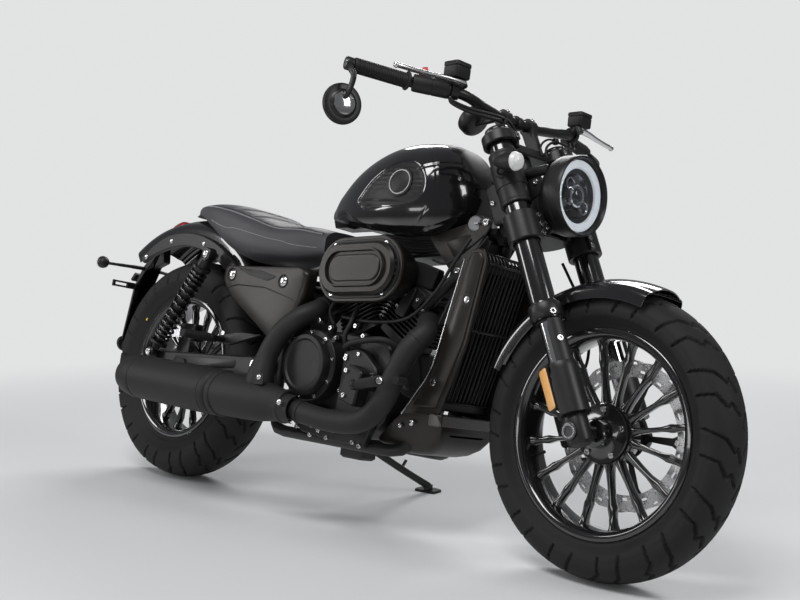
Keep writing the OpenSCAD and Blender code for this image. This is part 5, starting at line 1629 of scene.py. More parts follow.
def radiator_shields():
    """Side shields with a bright line along the rear edge, and the guard bars in front."""
    gap = 92.3
    bm = bmesh.new()
    side = [(1127, 637), (1112, 667), (1078, 667), (1061, 640), (1005, 390), (932, 277),
            (1044, 290), (1050, 314), (1098, 451)]
    rr = [8, 14, 12, 10, 26, 10, 6, 10, 20]
    out = rounded(side, rr, 5)
    slab(bm, out, gap + 1, gap + 12, 0, 3)
    pad = rounded([(1116, 640), (1106, 658), (1083, 658), (1070, 636), (1016, 388), (962, 300),
                   (1036, 304), (1040, 318), (1088, 453)], rr, 5)
    slab(bm, pad, gap + 11, gap + 15.6, 0, 3)
    edge = [(1061, 642), (1035, 520), (1006, 391), (970, 330), (934, 279)]
    path = [(p.x - 0.3, gap + 12.5, p.y) for p in spline(edge, 8)]
    tube(bm, path, 1.3, 8, mat=1)
    for x, z in ((1084, 550), (1018, 359)):
        lathe(bm, [(14, 15.0), (14, 17.0), (11.4, 17.2), (10.6, 15.6)], (x, gap - 1.2, z), LEFT, 32)
        bolt(bm, (x, gap + 13.8, z), LEFT, 10, 2.6, dome=True, mat=1)
    ob = finish_mesh("radiator_side_shields", bm, BIKE, "chassis", ["warm", "steel"],
                     mirrored=True, smooth=35)
    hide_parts("radiator_cowl")
    bm = bmesh.new()
    for i in range(13):
        y = -84 + 168 * i / 12
        path = spline([(1022, y, 316), (1056, y, 440), (1086, y, 560), (1106, y * 0.97, 634),
                       (1101, y * 0.95, 655), (1086, y * 0.94, 664)], 4)
        tube(bm, path, 2.3, 8)
    for x, z in ((1025, 318), (1108, 638), (1069, 486)):
        rod(bm, (x, -90, z), (x, 90, z), 3.0, 14)
    rod(bm, (1096, -91, 660), (1096, 91, 660), 3.6, 14)
    finish_mesh("radiator_guard_bars", bm, BIKE, "chassis", "satin", smooth=50)


def belly_scoop():
    """Belly scoop, as stacked sections from its lip to its tail."""
    secs = []
    # x, half width at the top, top z, bottom z, half width at the bottom, corner
    table = [(1051, 100, 288.5, 252, 94, 12), (1046, 104, 289.4, 232, 92, 20),
             (1034, 105, 289.5, 214, 86, 26), (1012, 105, 289.5, 200, 80, 30),
             (985, 105, 289.5, 193, 76, 32), (955, 105.4, 289.5, 190, 74, 32),
             (932, 104, 280, 190, 72, 30), (905, 98, 262, 192, 72, 26),
             (880, 91, 242, 196, 72, 19), (862, 84, 228, 202, 74, 10), (851, 80, 218, 207.5, 76, 4)]
    bm = bmesh.new()
    for x, wt, zt, zb, wb, c in table:
        pts = rounded([(-wt, zt), (wt, zt), (wb, zb), (-wb, zb)], [5, 5, c, c], 6)
        secs.append([(x, p.x, p.y) for p in pts])
    rings(bm, secs)
    # Paler band round the front, and a slot below it
    # Lip band round the front, its paler grey painted light on the face turned to the light, and below it a
    # dark flat patch, painted shade standing in for a slot
    band = rounded([(1018, -105.6), (1036, -105.8), (1052.2, -98), (1052.2, 98), (1036, 105.8),
                    (1018, 105.6)], [3, 10, 10, 10, 10, 3], 5)
    slab(bm, band, 262, 289, 2, 3, 'XY')
    # Flat dark patch: painted shade of the slot opening
    rings(bm, [[(1049.6, y * k, 248 + z * k * 0.5) for y, z in
                ((-60, 14), (-66, 0), (-56, -12), (56, -12), (66, 0), (60, 14))]
               for k in (1, 0.9)], mat=3)
    bmesh.ops.recalc_face_normals(bm, faces=bm.faces)
    for s in (1, -1):
        bolt(bm, (968, 104.8 * s, 262), (0, s, 0), 7, 3.4, dome=True, mat=1)
        bolt(bm, (930, 100 * s, 252), (0, s, 0), 6, 3.4, dome=True, mat=1)
    finish_mesh("belly_scoop", bm, BIKE, "chassis", ["warm", "steel", "lip", "plastic"],
                smooth=34)


# ---------------------------------------------------------------- feet, lights and small fittings
def rider_pegs():
    """Rider pegs with rubber tops, each with its pedal or lever."""
    bm = bmesh.new()
    rod(bm, (884, 106, 330), (884, 226, 330), 9.8, 24)
    lathe(bm, [(9.8, 106), (16, 106), (17, 108), (17, 114), (15, 116), (9.8, 117)], (884, 0, 330),
          LEFT, 32)
    a, b = Vector((884, 218, 330)), Vector((1035, 300, 345))
    d = (b - a).normalized()
    lathe(bm, [(0, 6), (9, 6), (10, 8), (10, 30), (11.6, 32), (11.6, 36), (9.6, 38), (9.6, 168),
               (11.4, 170), (11.4, 171.6), (10, 172.3), (0, 172.3)], a, d, 28)
    ball(bm, (884, 219, 330), 12.5, 24)
    prof = []
    h = 40
    while h < 164:
        prof += [(11.4, h), (11.4, h + 5.2), (10, h + 6.2), (10, h + 8.2)]
        h += 9.2
    lathe(bm, prof, a, d, 28, 1)
    bolt(bm, b + d * 0.1, d, 7, 2.4, mat=2)
    # Pedal or lever in front of the peg
    tube(bm, spline([(884, 160, 336), (930, 162, 352), (985, 172, 356), (1010, 196, 352)], 6), 5.6, 16)
    rod(bm, (1006, 186, 352), (1013, 226, 351), 8.6, 20, mat=1)
    ob = finish_mesh("rider_pegs_and_pedals", bm, BIKE, "chassis", ["satin", "rubber", "steel"],
                     mirrored=True, smooth=35)
    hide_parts("foot_controls")


def passenger_pegs():
    """Folding passenger pegs on their brackets."""
    bm = bmesh.new()
    slab(bm, rounded([(346, 427.4), (438, 425), (305, 388.6), (263, 392.4), (263, 415.4)], 7, 4),
         120.4, 131.6, 0, 2)
    rod(bm, (281, 130, 403), (281, 172, 403), 8.8, 20)
    ball(bm, (281, 171, 403), 11.5, 20)
    a, b = Vector((281, 170, 403)), Vector((264, 255, 404))
    d = (b - a).normalized()
    prof = [(0, 4), (9, 4), (11.7, 9)]
    h = 10
    while h < 78:
        prof += [(11.7, h), (11.7, h + 4.6), (10.4, h + 5.4), (10.4, h + 7)]
        h += 8.2
    lathe(bm, prof + [(11.7, 82), (10, 86), (0, 86.6)], a, d, 28, 1)
    bolt(bm, (281, 131.6, 420), LEFT, 6, 4, mat=2)
    ob = finish_mesh("passenger_foot_pegs", bm, BIKE, "chassis", ["satin", "rubber", "steel"],
                     mirrored=True, smooth=35)
    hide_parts("passenger_pegs")


def rear_lights():
    """Tail lamp on the fender, and the turn signals on their stalks."""
    bm = bmesh.new()
    for k, (g, r0, r1, mt) in enumerate(((28, 440, 447, 0), (26, 446, 459.6, 1))):
        rl = []
        for i in range(17):
            t = i / 16
            a = radians(106.2 + 8.6 * t)
            e = 1 - abs(2 * t - 1) ** 4 * 0.45
            hh = r0 + (r1 - r0) * (e if k else 1)
            w = g * (1 - 0.16 * abs(2 * t - 1) ** 4)
            sec = rounded([(r0, -w), (hh, -w * 0.86), (hh, w * 0.86), (r0, w)], [1, 6, 6, 1], 4)
            rl.append([(p.x * cos(a), p.y, p.x * sin(a)) for p in sec])
        rings(bm, rl, mat=mt)
    bmesh.ops.recalc_face_normals(bm, faces=bm.faces)
    finish_mesh("tail_lamp", bm, REAR_WHEEL, "chassis", ["plastic", "red"], smooth=35)
    bm = bmesh.new()
    tube(bm, spline([(-318, 13.4, 603), (-322, 50, 602), (-330, 100, 600), (-338, 132, 599)], 5),
         [6] * 6 + [5.2] * 4 + [4.6] * 6, 16)
    lathe(bm, [(0, -19), (8, -18), (14, -13), (17.6, -6), (18.6, 0), (18.6, 3)], (-338, 149, 599),
          (-1, 0, 0), 32)
    lathe(bm, [(18.6, 3), (17.8, 9), (14.5, 14.4), (8, 17.8), (0, 18.6)], (-338, 149, 599),
          (-1, 0, 0), 32, 1)
    ob = finish_mesh("rear_turn_signals", bm, BIKE, "chassis", ["plastic", "lens"],
                     mirrored=True, smooth=50)
    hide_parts("rear_lights")


def plate_holder():
    """Plate arm, slotted crossbar and round reflector."""
    bm = bmesh.new()

    def ar(r, a):
        return (r * cos(radians(a)), 315 + r * sin(radians(a)))
    arm = rounded([ar(434.6, 121.6), ar(434.6, 127.7), (-325, 611.6), (-361.6, 545), (-385.4, 380),
                   (-385.4, 346), (-373.4, 346), (-372, 380), (-346.4, 545), (-310.4, 590),
                   ar(377, 124.9)], [2, 2, 8, 14, 20, 3, 3, 20, 14, 10, 4], 4)
    slab(bm, arm, -12.6, 12.6, 0, 3)
    for s in (1, -1):
        slab(bm, rounded([(-363, 555), (-363, 535), (-353.6, 535), (-353.6, 555)], 2, 2),
             12 * s, 40 * s, 0, 1)
        slab(bm, rounded([(-361, 554.6), (-361, 549), (-355, 549), (-355, 554.6)], 1, 2), 40 * s,
             84 * s, 0, 0.8)
        slab(bm, rounded([(-361, 541), (-361, 535.4), (-355, 535.4), (-355, 541)], 1, 2), 40 * s,
             84 * s, 0, 0.8)
        slab(bm, rounded([(-362, 555), (-362, 535), (-354, 535), (-354, 555)], 2, 2), 83 * s,
             91.6 * s, 0, 1)
    c = Vector((-386, 0, 362))
    ax = Vector((-sin(radians(80)), 0, -cos(radians(80))))
    lathe(bm, [(0, -5), (22, -5), (23.8, -3), (23.8, 3.4), (22.6, 4.4), (21, 4.2)], c, ax, 40)
    lathe(bm, [(21, 4.0), (19, 4.8), (0, 4.9)], c, ax, 40, 1)
    # Small lamp over the plate
    slab(bm, rounded([(-352, 590), (-372, 566), (-362, 560), (-344, 580)], 4, 3), -22, 22, 0, 2)
    ob = finish_mesh("plate_holder", bm, BIKE, "chassis", ["plastic", "red"],
                     smooth=35)
    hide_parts("plate_bracket")


def drive_chain():
    """Side plates and rollers along the run round both sprockets."""
    # Centre and pitch radius of the rear and the front sprocket
    c1, r1 = Vector((0, 315)), 100.5
    c2, r2 = Vector((470, 345)), 40.5
    dv = c2 - c1
    L = dv.length
    base = atan2(dv.y, dv.x)
    off = math.acos((r1 - r2) / L)
    a0, a1 = base + off, base + 2 * pi - off
    seg = 12.7
    arc1 = r1 * (a1 - a0)
    run = L * sin(off)
    arc2 = r2 * 2 * off
    total = arc1 + arc2 + 2 * run
    n = int(round(total / seg / 2)) * 2
    seg = total / n

    def at(s):
        s %= total
        if s < arc1:
            a = a0 + s / r1
            return c1 + r1 * Vector((cos(a), sin(a)))
        s -= arc1
        p = c1 + r1 * Vector((cos(a1), sin(a1)))
        q = c2 + r2 * Vector((cos(a1), sin(a1)))
        if s < run:
            return p.lerp(q, s / run)
        s -= run
        if s < arc2:
            a = a1 + s / r2
            return c2 + r2 * Vector((cos(a), sin(a)))
        s -= arc2
        p = c2 + r2 * Vector((cos(a0), sin(a0)))
        q = c1 + r1 * Vector((cos(a0), sin(a0)))
        return p.lerp(q, s / run)
    bm = bmesh.new()
    for i in range(n):
        p, q = at(i * seg), at((i + 1) * seg)
        t = (q - p).normalized()
        nn = Vector((-t.y, t.x))
        ys = (82.6, 84.6, 93.4, 95.4) if i % 2 else (84.8, 86.4, 91.6, 93.2)
        out = []
        for k in range(5):
            a = pi / 2 + pi * k / 4
            out.append(p + 4.4 * (t * cos(a) + nn * sin(a)))
        for k in range(5):
            a = -pi / 2 + pi * k / 4
            out.append(q + 4.4 * (t * cos(a) + nn * sin(a)))
        slab(bm, out, ys[0], ys[1], 0, 0.3)
        slab(bm, out, ys[2], ys[3], 0, 0.3)
        rod(bm, (p.x, 82.4, p.y), (p.x, 95.6, p.y), 2.4, 8, 0.3, mat=1)
    ob = finish_mesh("roller_chain", bm, BIKE, "chassis", ["dark_steel", "steel"],
                     smooth=35)
    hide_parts("drive_chain")


def rear_caliper():
    """Rear caliper on its carrier."""
    bm = bmesh.new()
    out = rounded([(45, 430), (104, 430), (94.6, 336), (65, 316), (41, 336)], 8, 4)
    slab(bm, out, -103.6, -96.2, 0, 2)
    for y0, y1 in ((-102.8, -89), (-71, -59.4)):
        slab(bm, rounded([(41, 391), (41, 439), (109, 439), (109, 391)], 9, 4), y0, y1, 0, 3)
    slab(bm, rounded([(52, 424), (52, 439.6), (98, 439.6), (98, 424)], 4, 3), -92, -68, 0, 2)
    bolts(bm, ((56, 402), (94, 402)), -102.8, 7, 3, mat=1)
    ob = finish_mesh("rear_brake_caliper", bm, BIKE, "chassis", ["satin", "steel"],
                     smooth=35)
    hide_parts("rear_caliper")


# ---------------------------------------------------------------- side stand
STAND_PIVOT = Vector((630, 135, 170))
FOOT_ROW = Vector((665, 352, 0))


def to_bike(w):
    """A point given upright on the floor, in the leaning machine's frame."""
    return Vector((w.x, w.y * cos(LEAN) - (w.z - LIFT) * sin(LEAN),
                   w.y * sin(LEAN) + (w.z - LIFT) * cos(LEAN)))


def side_stand():
    """Leg, foot, return spring and mount of the side stand."""
    leg = to_bike(FOOT_ROW + Vector((0, 0, 16))) - STAND_PIVOT
    axis = leg.cross(Vector((-230, 30, -10))).normalized()
    d = leg.normalized()
    bm = bmesh.new()
    foot = STAND_PIVOT + leg
    side = axis.cross(d).normalized()
    path = [STAND_PIVOT + d * (leg.length * t) + side * (6 * sin(pi * t)) for t in
            [i / 16 for i in range(17)]]
    path[-1] = foot
    tube(bm, path, [along([10, 9.8, 9.4, 9.4, 9.8], i / 16) for i in range(17)], 24)
    rod(bm, STAND_PIVOT - axis * 8, STAND_PIVOT + axis * 8, 16, 36, 1.5)
    bolt(bm, STAND_PIVOT + axis * 8, axis, 7, 3, mat=1)
    # Tang for the rider's heel
    tube(bm, spline([STAND_PIVOT + d * 120, STAND_PIVOT + d * 128 + side * 12 + axis * 10,
                     STAND_PIVOT + d * 134 + side * 16 + axis * 30], 5), 4.2, 14)
    ob = finish_mesh("side_stand_leg", bm, BIKE, "side_stand", ["satin", "steel"],
                     smooth=40)
    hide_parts("side_stand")
    bm = bmesh.new()
    out = [FOOT_ROW.to_2d() + Vector(p) for p in ((-38, -18), (32, -14), (32, 24), (-24, 28), (-38, 14))]
    slab(bm, rounded([tuple(p) for p in out], [10, 12, 12, 10, 8], 5), 0.05, 6.6, 0, 1.6, plane='XY')
    rod(bm, FOOT_ROW + Vector((0, 0, 4)), FOOT_ROW + Vector((0, 0, 19.6)), 12.6, 28)
    for k in range(3):
        box(bm, (FOOT_ROW.x - 26 + 17 * k, FOOT_ROW.y - 8, 6), (FOOT_ROW.x - 20 + 17 * k,
            FOOT_ROW.y + 18, 6.9), 0.2)
    finish_mesh("side_stand_foot", bm, ROW, "side_stand", "satin", smooth=40)
    # Return spring, seen under the engine
    bm = bmesh.new()
    a, b = STAND_PIVOT + Vector((-12, -14, 8)), STAND_PIVOT + Vector((-128, -40, 12))
    dd = (b - a).normalized()
    u, v, w = basis(dd)
    ln = (b - a).length
    pts = [a + w * (14 + (ln - 28) * t) + (u * cos(2 * pi * 20 * t) + v * sin(2 * pi * 20 * t)) * 6
           for t in [i / 320 for i in range(321)]]
    tube(bm, [a, a + w * 8] + pts + [b - w * 8, b], 1.7, 8)
    finish_mesh("stand_spring", bm, BIKE, "chassis", "dark_steel", smooth=60)
    bm = bmesh.new()
    box(bm, (590.4, 60.4, 140.4), (669.6, 111.6, 189.6), 6)
    for s in (-1, 1):
        rod(bm, STAND_PIVOT + axis * (s * 9.6), STAND_PIVOT + axis * (s * 15.4), 16.6, 36)
    rod(bm, STAND_PIVOT - axis * 19, STAND_PIVOT + axis * 19, 6.6, 24)
    bolt(bm, STAND_PIVOT - axis * 15.4, -axis, 8, 4, mat=1)
    bolts(bm, ((604, 178), (656, 178)), 111.6, 6, 3.4, mat=1)
    ob = finish_mesh("stand_mount", bm, BIKE, "chassis", ["satin", "steel"], smooth=40)
    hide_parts("stand_bracket")


# ---------------------------------------------------------------- fork
def clamp_ring(bm, u0, u1, y):
    """One leg's ring of a fork clamp, from u0 to u1 along the leg."""
    r, bore = 39, 29.5
    lathe(bm, [(bore, u0 + 1.5), (bore + 1.5, u0), (r - 1.8, u0), (r, u0 + 1.8), (r, u1 - 1.8),
               (r - 1.8, u1), (bore + 1.5, u1), (bore, u1 - 1.5)], (OFFSET, y, 0), UP, 64, loop=True)


def fork_clamps():
    """Fork clamps with their pinch bolts, the bar's risers and the stem."""
    bm = bmesh.new()
    for u0, u1, w0 in ((737, 803, 769), (979, 1005, 979)):
        for y in (LEG_Y, -LEG_Y):
            clamp_ring(bm, u0 + 0.3, u1 - 0.3, y)
        out = rounded([(-25, -40), (-25, 40), (8, 74), (43, 74), (43, -74), (8, -74)],
                      [22, 22, 14, 8, 8, 14], 5)
        slab(bm, out, w0 + 0.4, u1 - 0.4, 0, 3, plane='XY')
        # Split lugs with pinch bolts behind the rings
        for s in (1, -1):
            zz = [(u0 + u1) / 2] if u1 - u0 < 40 else [u0 + 12, (u0 + u1) / 2, u1 - 12]
            box(bm, (66, 84 * s - 5, u0 + 3), (78.4, 84 * s + 5, u1 - 3), 2)
            for z in zz:
                bolt(bm, (76.8, 88 * s, z), AHEAD, 6.4, 3.0, mat=1)
    for s in (1, -1):
        lathe(bm, [(29.2, 1004), (33, 1004), (34.4, 1005.4), (34.4, 1007.4), (32.4, 1008.4),
                   (31, 1008.2)], (OFFSET, LEG_Y * s, 0), UP, 48)
        # Risers for the bar
        out = rounded([(11.4, 992), (42.6, 992), (41, 1052), (46, 1068), (8, 1068), (13, 1052)],
                      [3, 3, 8, 4, 4, 8], 4)
        slab(bm, out, 34.6 * s, 55.4 * s, 0, 3)
        lathe(bm, [(13, -10.6), (19, -10.6), (20.8, -8.6), (20.8, 8.6), (19, 10.6), (13, 10.6)],
              (27, 45 * s, 1077), LEFT, 40)
        for x in (11, 43):
            bolt(bm, (x, 45 * s, 1085), UP, 5, 5.4, mat=1)
    rod(bm, (0, 0, 988), (0, 0, 1009), 15.6, 6, 2, mat=1)
    lathe(bm, [(16, 1005), (24, 1005), (25, 1006), (25, 1008), (23, 1009), (16, 1009)], CENTRE,
          UP, 40, mat=1)
    rod(bm, (0, 0, 772), (0, 0, 990), 16.8, 32)
    ob = finish_mesh("fork_yokes", bm, FORK, "steering", ["satin", "steel"], smooth=35)
    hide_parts("fork_clamps")


def fork_tubes():
    """Upper tubes with threaded caps."""
    bm = bmesh.new()
    for s in (1, -1):
        lathe(bm, [(22, 554.4), (31.6, 554.4), (31.8, 556), (31.8, 572), (31, 573), (31, 576),
                   (31.8, 577), (31.8, 592), (30.4, 594), (27.9, 595), (27.9, 1006), (27.4, 1008),
                   (27.9, 1009), (27.9, 1011), (27.3, 1012), (27.9, 1013), (27.9, 1015), (27.3, 1016),
                   (27.9, 1017), (27.2, 1019.4), (25, 1019.9), (14, 1019.9), (13, 1018.6), (0, 1018.6)],
              (OFFSET, LEG_Y * s, 0), UP, 64)
        rod(bm, (OFFSET, LEG_Y * s, 1010), (OFFSET, LEG_Y * s, 1019.8), 9, 6, 1, mat=1)
        lathe(bm, [(21.4, 553.6), (26.4, 553.6), (26.4, 551.4), (21.4, 551.2)], (OFFSET, LEG_Y * s, 0),
              UP, 40, mat=2)
    ob = finish_mesh("fork_upper_tubes", bm, FORK, "steering", ["gloss", "alu", "rubber"],
                     smooth=35)
    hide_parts("fork_tubes")


def fork_legs():
    """Bright tubes and lower legs, with guards and the axle's ends."""
    bm = bmesh.new()
    for s in (1, -1):
        c = (OFFSET, LEG_Y * s, 0)
        lathe(bm, [(20.6, AXLE_U + 20), (20.6, 743)], c, UP, 56, mat=1)
        lathe(bm, [(0, AXLE_U - 27.6), (20, AXLE_U - 27.6), (25.6, AXLE_U - 22), (26.8, AXLE_U - 14),
                   (26.8, AXLE_U + 22), (25, AXLE_U + 32), (22.6, AXLE_U + 37.6), (20.4, AXLE_U + 38)],
              c, UP, 56)
        lathe(bm, [(20.5, AXLE_U + 34.4), (31.8, AXLE_U + 34.4), (31.8, AXLE_U + 41.6),
                   (20.5, AXLE_U + 41.6)], c, UP, 56)
        # Guard round the front of the leg
        rl = []
        for i in range(25):
            t = i / 24
            z = AXLE_U + 35 + 108 * t
            sec = []
            a0, a1 = radians(-72 + 16 * smooth01((t - 0.5) * 2)), radians(100 - 12 * smooth01((t - .5) * 2))
            for k in range(17):
                a = a0 + (a1 - a0) * k / 16
                rr = 36.6 - 1.6 * max(0, (t - 0.93) / 0.07)
                sec.append((OFFSET + rr * cos(a), (LEG_Y + rr * sin(a)) * s, z))
            for k in range(17):
                a = a1 - (a1 - a0) * k / 16
                sec.append((OFFSET + 32 * cos(a), (LEG_Y + 32 * sin(a)) * s, z))
            rl.append(sec)
        rings(bm, rl)
        # Long narrow plate over the front of the bright tube, held by two bolts
        u0, u1 = AXLE_U + 138, 550
        rl = []
        for i in range(15):
            t = i / 14
            half = radians(34 - 8 * smooth01((t - 0.8) / 0.2))
            sec = []
            for rr, sg in ((33.5, 1), (30, -1)):
                for k in range(13):
                    a = radians(30) + sg * half * (2 * k / 12 - 1)
                    sec.append((OFFSET + rr * cos(a), (LEG_Y + rr * sin(a)) * s, u0 + (u1 - u0) * t))
            rl.append(sec)
        rings(bm, rl)
        for z in (u0 + 52, u0 + 112):
            a = radians(30)
            bolt(bm, (OFFSET + 33 * cos(a), (LEG_Y + 33 * sin(a)) * s, z),
                 (cos(a), sin(a) * s, 0), 7, 4, mat=2)
        lathe(bm, [(21, 0), (34, 0.6), (35.4, 3), (35.4, 30), (34, 33), (29, 34)],
              (OFFSET, LEG_Y * s, 556), UP, 56)
    bmesh.ops.recalc_face_normals(bm, faces=bm.faces)
    ob = finish_mesh("fork_lower_legs", bm, FORK, "steering", ["satin", "chrome", "steel"],
                     smooth=35)
    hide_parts("fork_sliders")


def fork_covers():
    """Covers round the upper tubes, with the lamps' bands and plates."""
    bm = bmesh.new()
    for s in (1, -1):
        lathe(bm, [(28.4, 827.4), (32.6, 827.4), (33.8, 829), (33.8, 834), (33.2, 835), (33.8, 836),
                   (33.8, 948), (33.2, 949), (33.8, 950), (33.8, 955), (32.6, 956.6), (28.4, 956.6)],
              (OFFSET, LEG_Y * s, 0), UP, 72)
        # Lamp band and the plate that runs in towards the headlight
        lathe(bm, [(33.6, 868), (35.6, 869), (35.6, 931), (33.6, 932)], (OFFSET, LEG_Y * s, 0),
              UP, 72)
        slab(bm, rounded([(48, 838), (92, 842), (104, 858), (98, 884), (70, 900), (48, 896)], 12, 4),
             (LEG_Y - 30) * s, (LEG_Y - 36) * s, 0, 1.5)
        bolt(bm, (84, (LEG_Y - 30) * s, 872), (0, s, 0), 6.5, 3.4, mat=1)
        rod(bm, (66, (LEG_Y - 30) * s, 902), (122, (LEG_Y - 34) * s, 884), 11.5, 28, 3)
    ob = finish_mesh("fork_covers", bm, FORK, "steering", ["plastic", "steel"],
                     smooth=30)
    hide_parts("fork_shrouds")


def fork_reflectors():
    """Side reflectors on the lower guards."""
    bm = bmesh.new()
    for s in (1, -1):
        c = Vector((18, (LEG_Y + 30.5) * s, 0))
        n = Vector((-0.42, 0.9 * s, 0)).normalized()
        out = rounded([(-14, -43), (14, -43), (14, 43), (-14, 43)], 5, 4)
        u = n.cross(Vector(UP)).normalized()
        base = Vector((c.x, c.y, AXLE_U + 96))
        rl = []
        for h, k in ((-2, 1), (2.6, 1), (4.4, 0.84)):
            rl.append([base + n * h + u * (p.x * k) + Vector((0, 0, p.y * (k + 1) / 2)) for p in out])
        rings(bm, rl)
        rings(bm, [[q - n * 3 + (q - base) * 0.1 for q in rl[0]], [q + (q - base) * 0.1 for q in rl[0]],
                   [q + n * 3.4 + (q - base) * 0.08 for q in rl[0]]], mat=1)
    bmesh.ops.recalc_face_normals(bm, faces=bm.faces)
    finish_mesh("fork_reflectors", bm, FORK, "steering", ["amber", "plastic"], smooth=35)


def front_axle():
    """Front axle with its spacers and end caps."""
    bm = bmesh.new()
    m = T(OFFSET, 0, AXLE_U) @ R(RAKE, 'Y')
    rod(bm, (0, -137.6, 0), (0, 137.6, 0), 9.6, 24)
    for s in (1, -1):
        lathe(bm, [(10, 60.4), (15.6, 60.4), (15.6, 78.4), (10, 78.4)], CENTRE, (0, s, 0), 32)
        lathe(bm, [(10, 133.5), (16.6, 133.5), (17.8, 134.6), (17.8, 138), (16.4, 138.9),
                   (9, 138.9), (8, 136.4), (0, 136.4)], CENTRE, (0, s, 0), 40)
        lathe(bm, [(11, 138.4), (11.4, 139.3), (14.4, 139.3), (14.8, 138.4)], CENTRE, (0, s, 0), 40, 1)
    ob = finish_mesh("front_wheel_axle", bm, FORK @ m, "steering", ["dark_steel", "steel"],
                     smooth=35)
    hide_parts("front_axle")


def front_caliper():
    """Front caliper on its carrier."""
    bm = bmesh.new()
    out = rounded([(-149, 31), (-120, 99), (-25, 26), (-25, -11), (-99, 19)], [6, 10, 8, 8, 20], 4)
    slab(bm, out, 83.4, 91.6, 0, 2)
    for y0, y1 in ((46.6, 58.2), (69.8, 83.4)):
        slab(bm, rounded([(-157, 21), (-157, 109), (-109, 109), (-109, 21)], 11, 4), y0, y1, 0, 3)
    slab(bm, rounded([(-157, 24), (-157, 106), (-140, 106), (-140, 24)], 5, 3), 55, 72, 0, 2)
    for z in (42, 88):
        rod(bm, (-133, 82, z), (-133, 85.5, z), 11, 32)
        bolt(bm, (-133, 85.2, z), LEFT, 7, 2.6, mat=1)
    bolts(bm, ((-121, 83), (-139, 38)), 91.6, 7, 4, mat=1)
    ob = finish_mesh("front_brake_caliper", bm, FORK @ T(OFFSET, 0, AXLE_U), "steering",
                     ["satin", "steel"], smooth=35)
    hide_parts("front_caliper")


def brake_hose():
    """Brake hose from the caliper up the leg."""
    bm = bmesh.new()
    path = spline([(OFFSET - 126, 66, AXLE_U + 106), (OFFSET - 100, 74, AXLE_U + 150),
                   (-20, 88, AXLE_U + 190),
                   (2, 96, AXLE_U + 260), (4, 92, 640), (-2, 86, 700), (-6, 80, 742)], 6)
    tube(bm, path, 3.4, 12)
    lathe(bm, [(3.4, -6), (5.4, -5), (5.4, 5), (3.4, 6)], path[1], (path[3] - path[1]).normalized(), 16,
          mat=1)
    finish_mesh("front_brake_hose", bm, FORK, "steering", ["rubber", "steel"], smooth=50)


# ---------------------------------------------------------------- headlight
LAMP = (1280, 0, 803)


def headlight():
    """Headlight housing and the bracket that holds it."""
    c = LAMP
    bm = bmesh.new()
    lathe(bm, [(0, -75.4), (49, -75.4), (52, -74), (60, -66), (76, -50), (86, -38), (88.6, -33),
               (89.6, -28), (89.6, 4), (89, 9), (87.6, 11.8), (84.4, 11.8), (83.2, 9.6), (82.6, 3),
               (82.3, -27.2), (0, -27.4)], c, AHEAD, 96)
    lathe(bm, [(89.5, -22), (90, -21.4), (90, -14.6), (89.5, -14)], c, AHEAD, 96)
    for s in (1, -1):
        rod(bm, (1262, 84 * s, 803), (1262, 89.4 * s, 803), 9, 28)
    bolt(bm, (1286, 0, 803 + 88.2), UP, 4, 1.4, mat=1)
    ob = finish_mesh("headlight_housing", bm, STEERED, "steering", ["satin", "steel"],
                     smooth=35)
    bm = bmesh.new()
    box(bm, (44.8, -29.6, 776.4), (60.8, 29.6, 795.6), 3)
    for s in (1, -1):
        slab(bm, rounded([(44, 760), (60, 766), (78, 786), (70, 802), (44, 796)], 6, 4), 31 * s,
             38 * s, 0, 1.6)
        bolt(bm, (58, 38 * s, 780), (0, s, 0), 5.5, 3, mat=1)
    finish_mesh("headlight_bracket", bm, FORK, "steering", ["satin", "steel"], smooth=35)
    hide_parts("headlight_shell")


def headlight_insert():
    """White ring, dark faceted bowl, centre bar and projector, behind the glass."""
    c = LAMP
    bm = bmesh.new()
    lathe(bm, [(81.6, -1), (80.4, -2), (79.4, -5), (79, -8)], c, AHEAD, 96)
    lathe(bm, [(79, -8), (78.4, -3.0), (76.8, -1.2), (70, -0.6), (62, -2.6), (60.4, -4.4),
               (60, -9)], c, AHEAD, 96, mat=1)
    lathe(bm, [(60.2, -8), (56, -13), (50, -16)], c, AHEAD, 96)
    lathe(bm, [(50, -15), (44, -22), (30, -26.6), (0, -27)], c, AHEAD, 18, mat=2)
    for k in range(6):
        a = pi / 6 + k * pi / 3
        u = Vector((0, cos(a), sin(a)))
        m4 = Matrix.Translation(Vector(c) + u * 38 + Vector((-17, 0, 0))) @ R(pi / 2 - a, 'X').inverted()
        box(bm, (-5, -9, -8), (3, 9, 8), 1.6, 2 if k % 2 else 0, m4)
    box(bm, (c[0] - 20, -44, c[2] - 8.5), (c[0] - 8, 44, c[2] + 8.5), 2.5, 0)
    for s in (1, -1):
        lathe(bm, [(12, -8), (13, -6.4), (15.4, -6.6), (16, -10)], (c[0], 27 * s, c[2] - 22 * s),
              AHEAD, 36, mat=3)
    lathe(bm, [(26, -18), (25, -7), (22, -4.8), (19.4, -5.4), (18.8, -9)], c, AHEAD, 48, mat=3)
    finish_mesh("headlight_insert", bm, STEERED, "steering", ["plastic", "halo", "reflector", "chrome"],
                smooth=28)
    bm = bmesh.new()
    lathe(bm, [(19, -8), (17, -3.0), (12, -0.4), (6, 0.8), (0, 1.2)], c, AHEAD, 48)
    finish_mesh("headlight_projector", bm, STEERED, "steering", "dark_glass", smooth=60)
    bm = bmesh.new()
    inner = [(78.6 * i / 10, 3.8 - 4.4 * (i / 10) ** 2) for i in range(11)]
    outer = [(81 * (i / 10), 6.2 - 4.4 * (i / 10) * (i / 10)) for i in range(10, -1, -1)]
    lathe(bm, inner + [(79.4, -2), (81.2, -2), (81.4, 1.2)] + outer, c, AHEAD, 96)
    ob = finish_mesh("headlight_glass", bm, STEERED, "steering", "glass", smooth=50)
    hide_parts("headlight_lens")


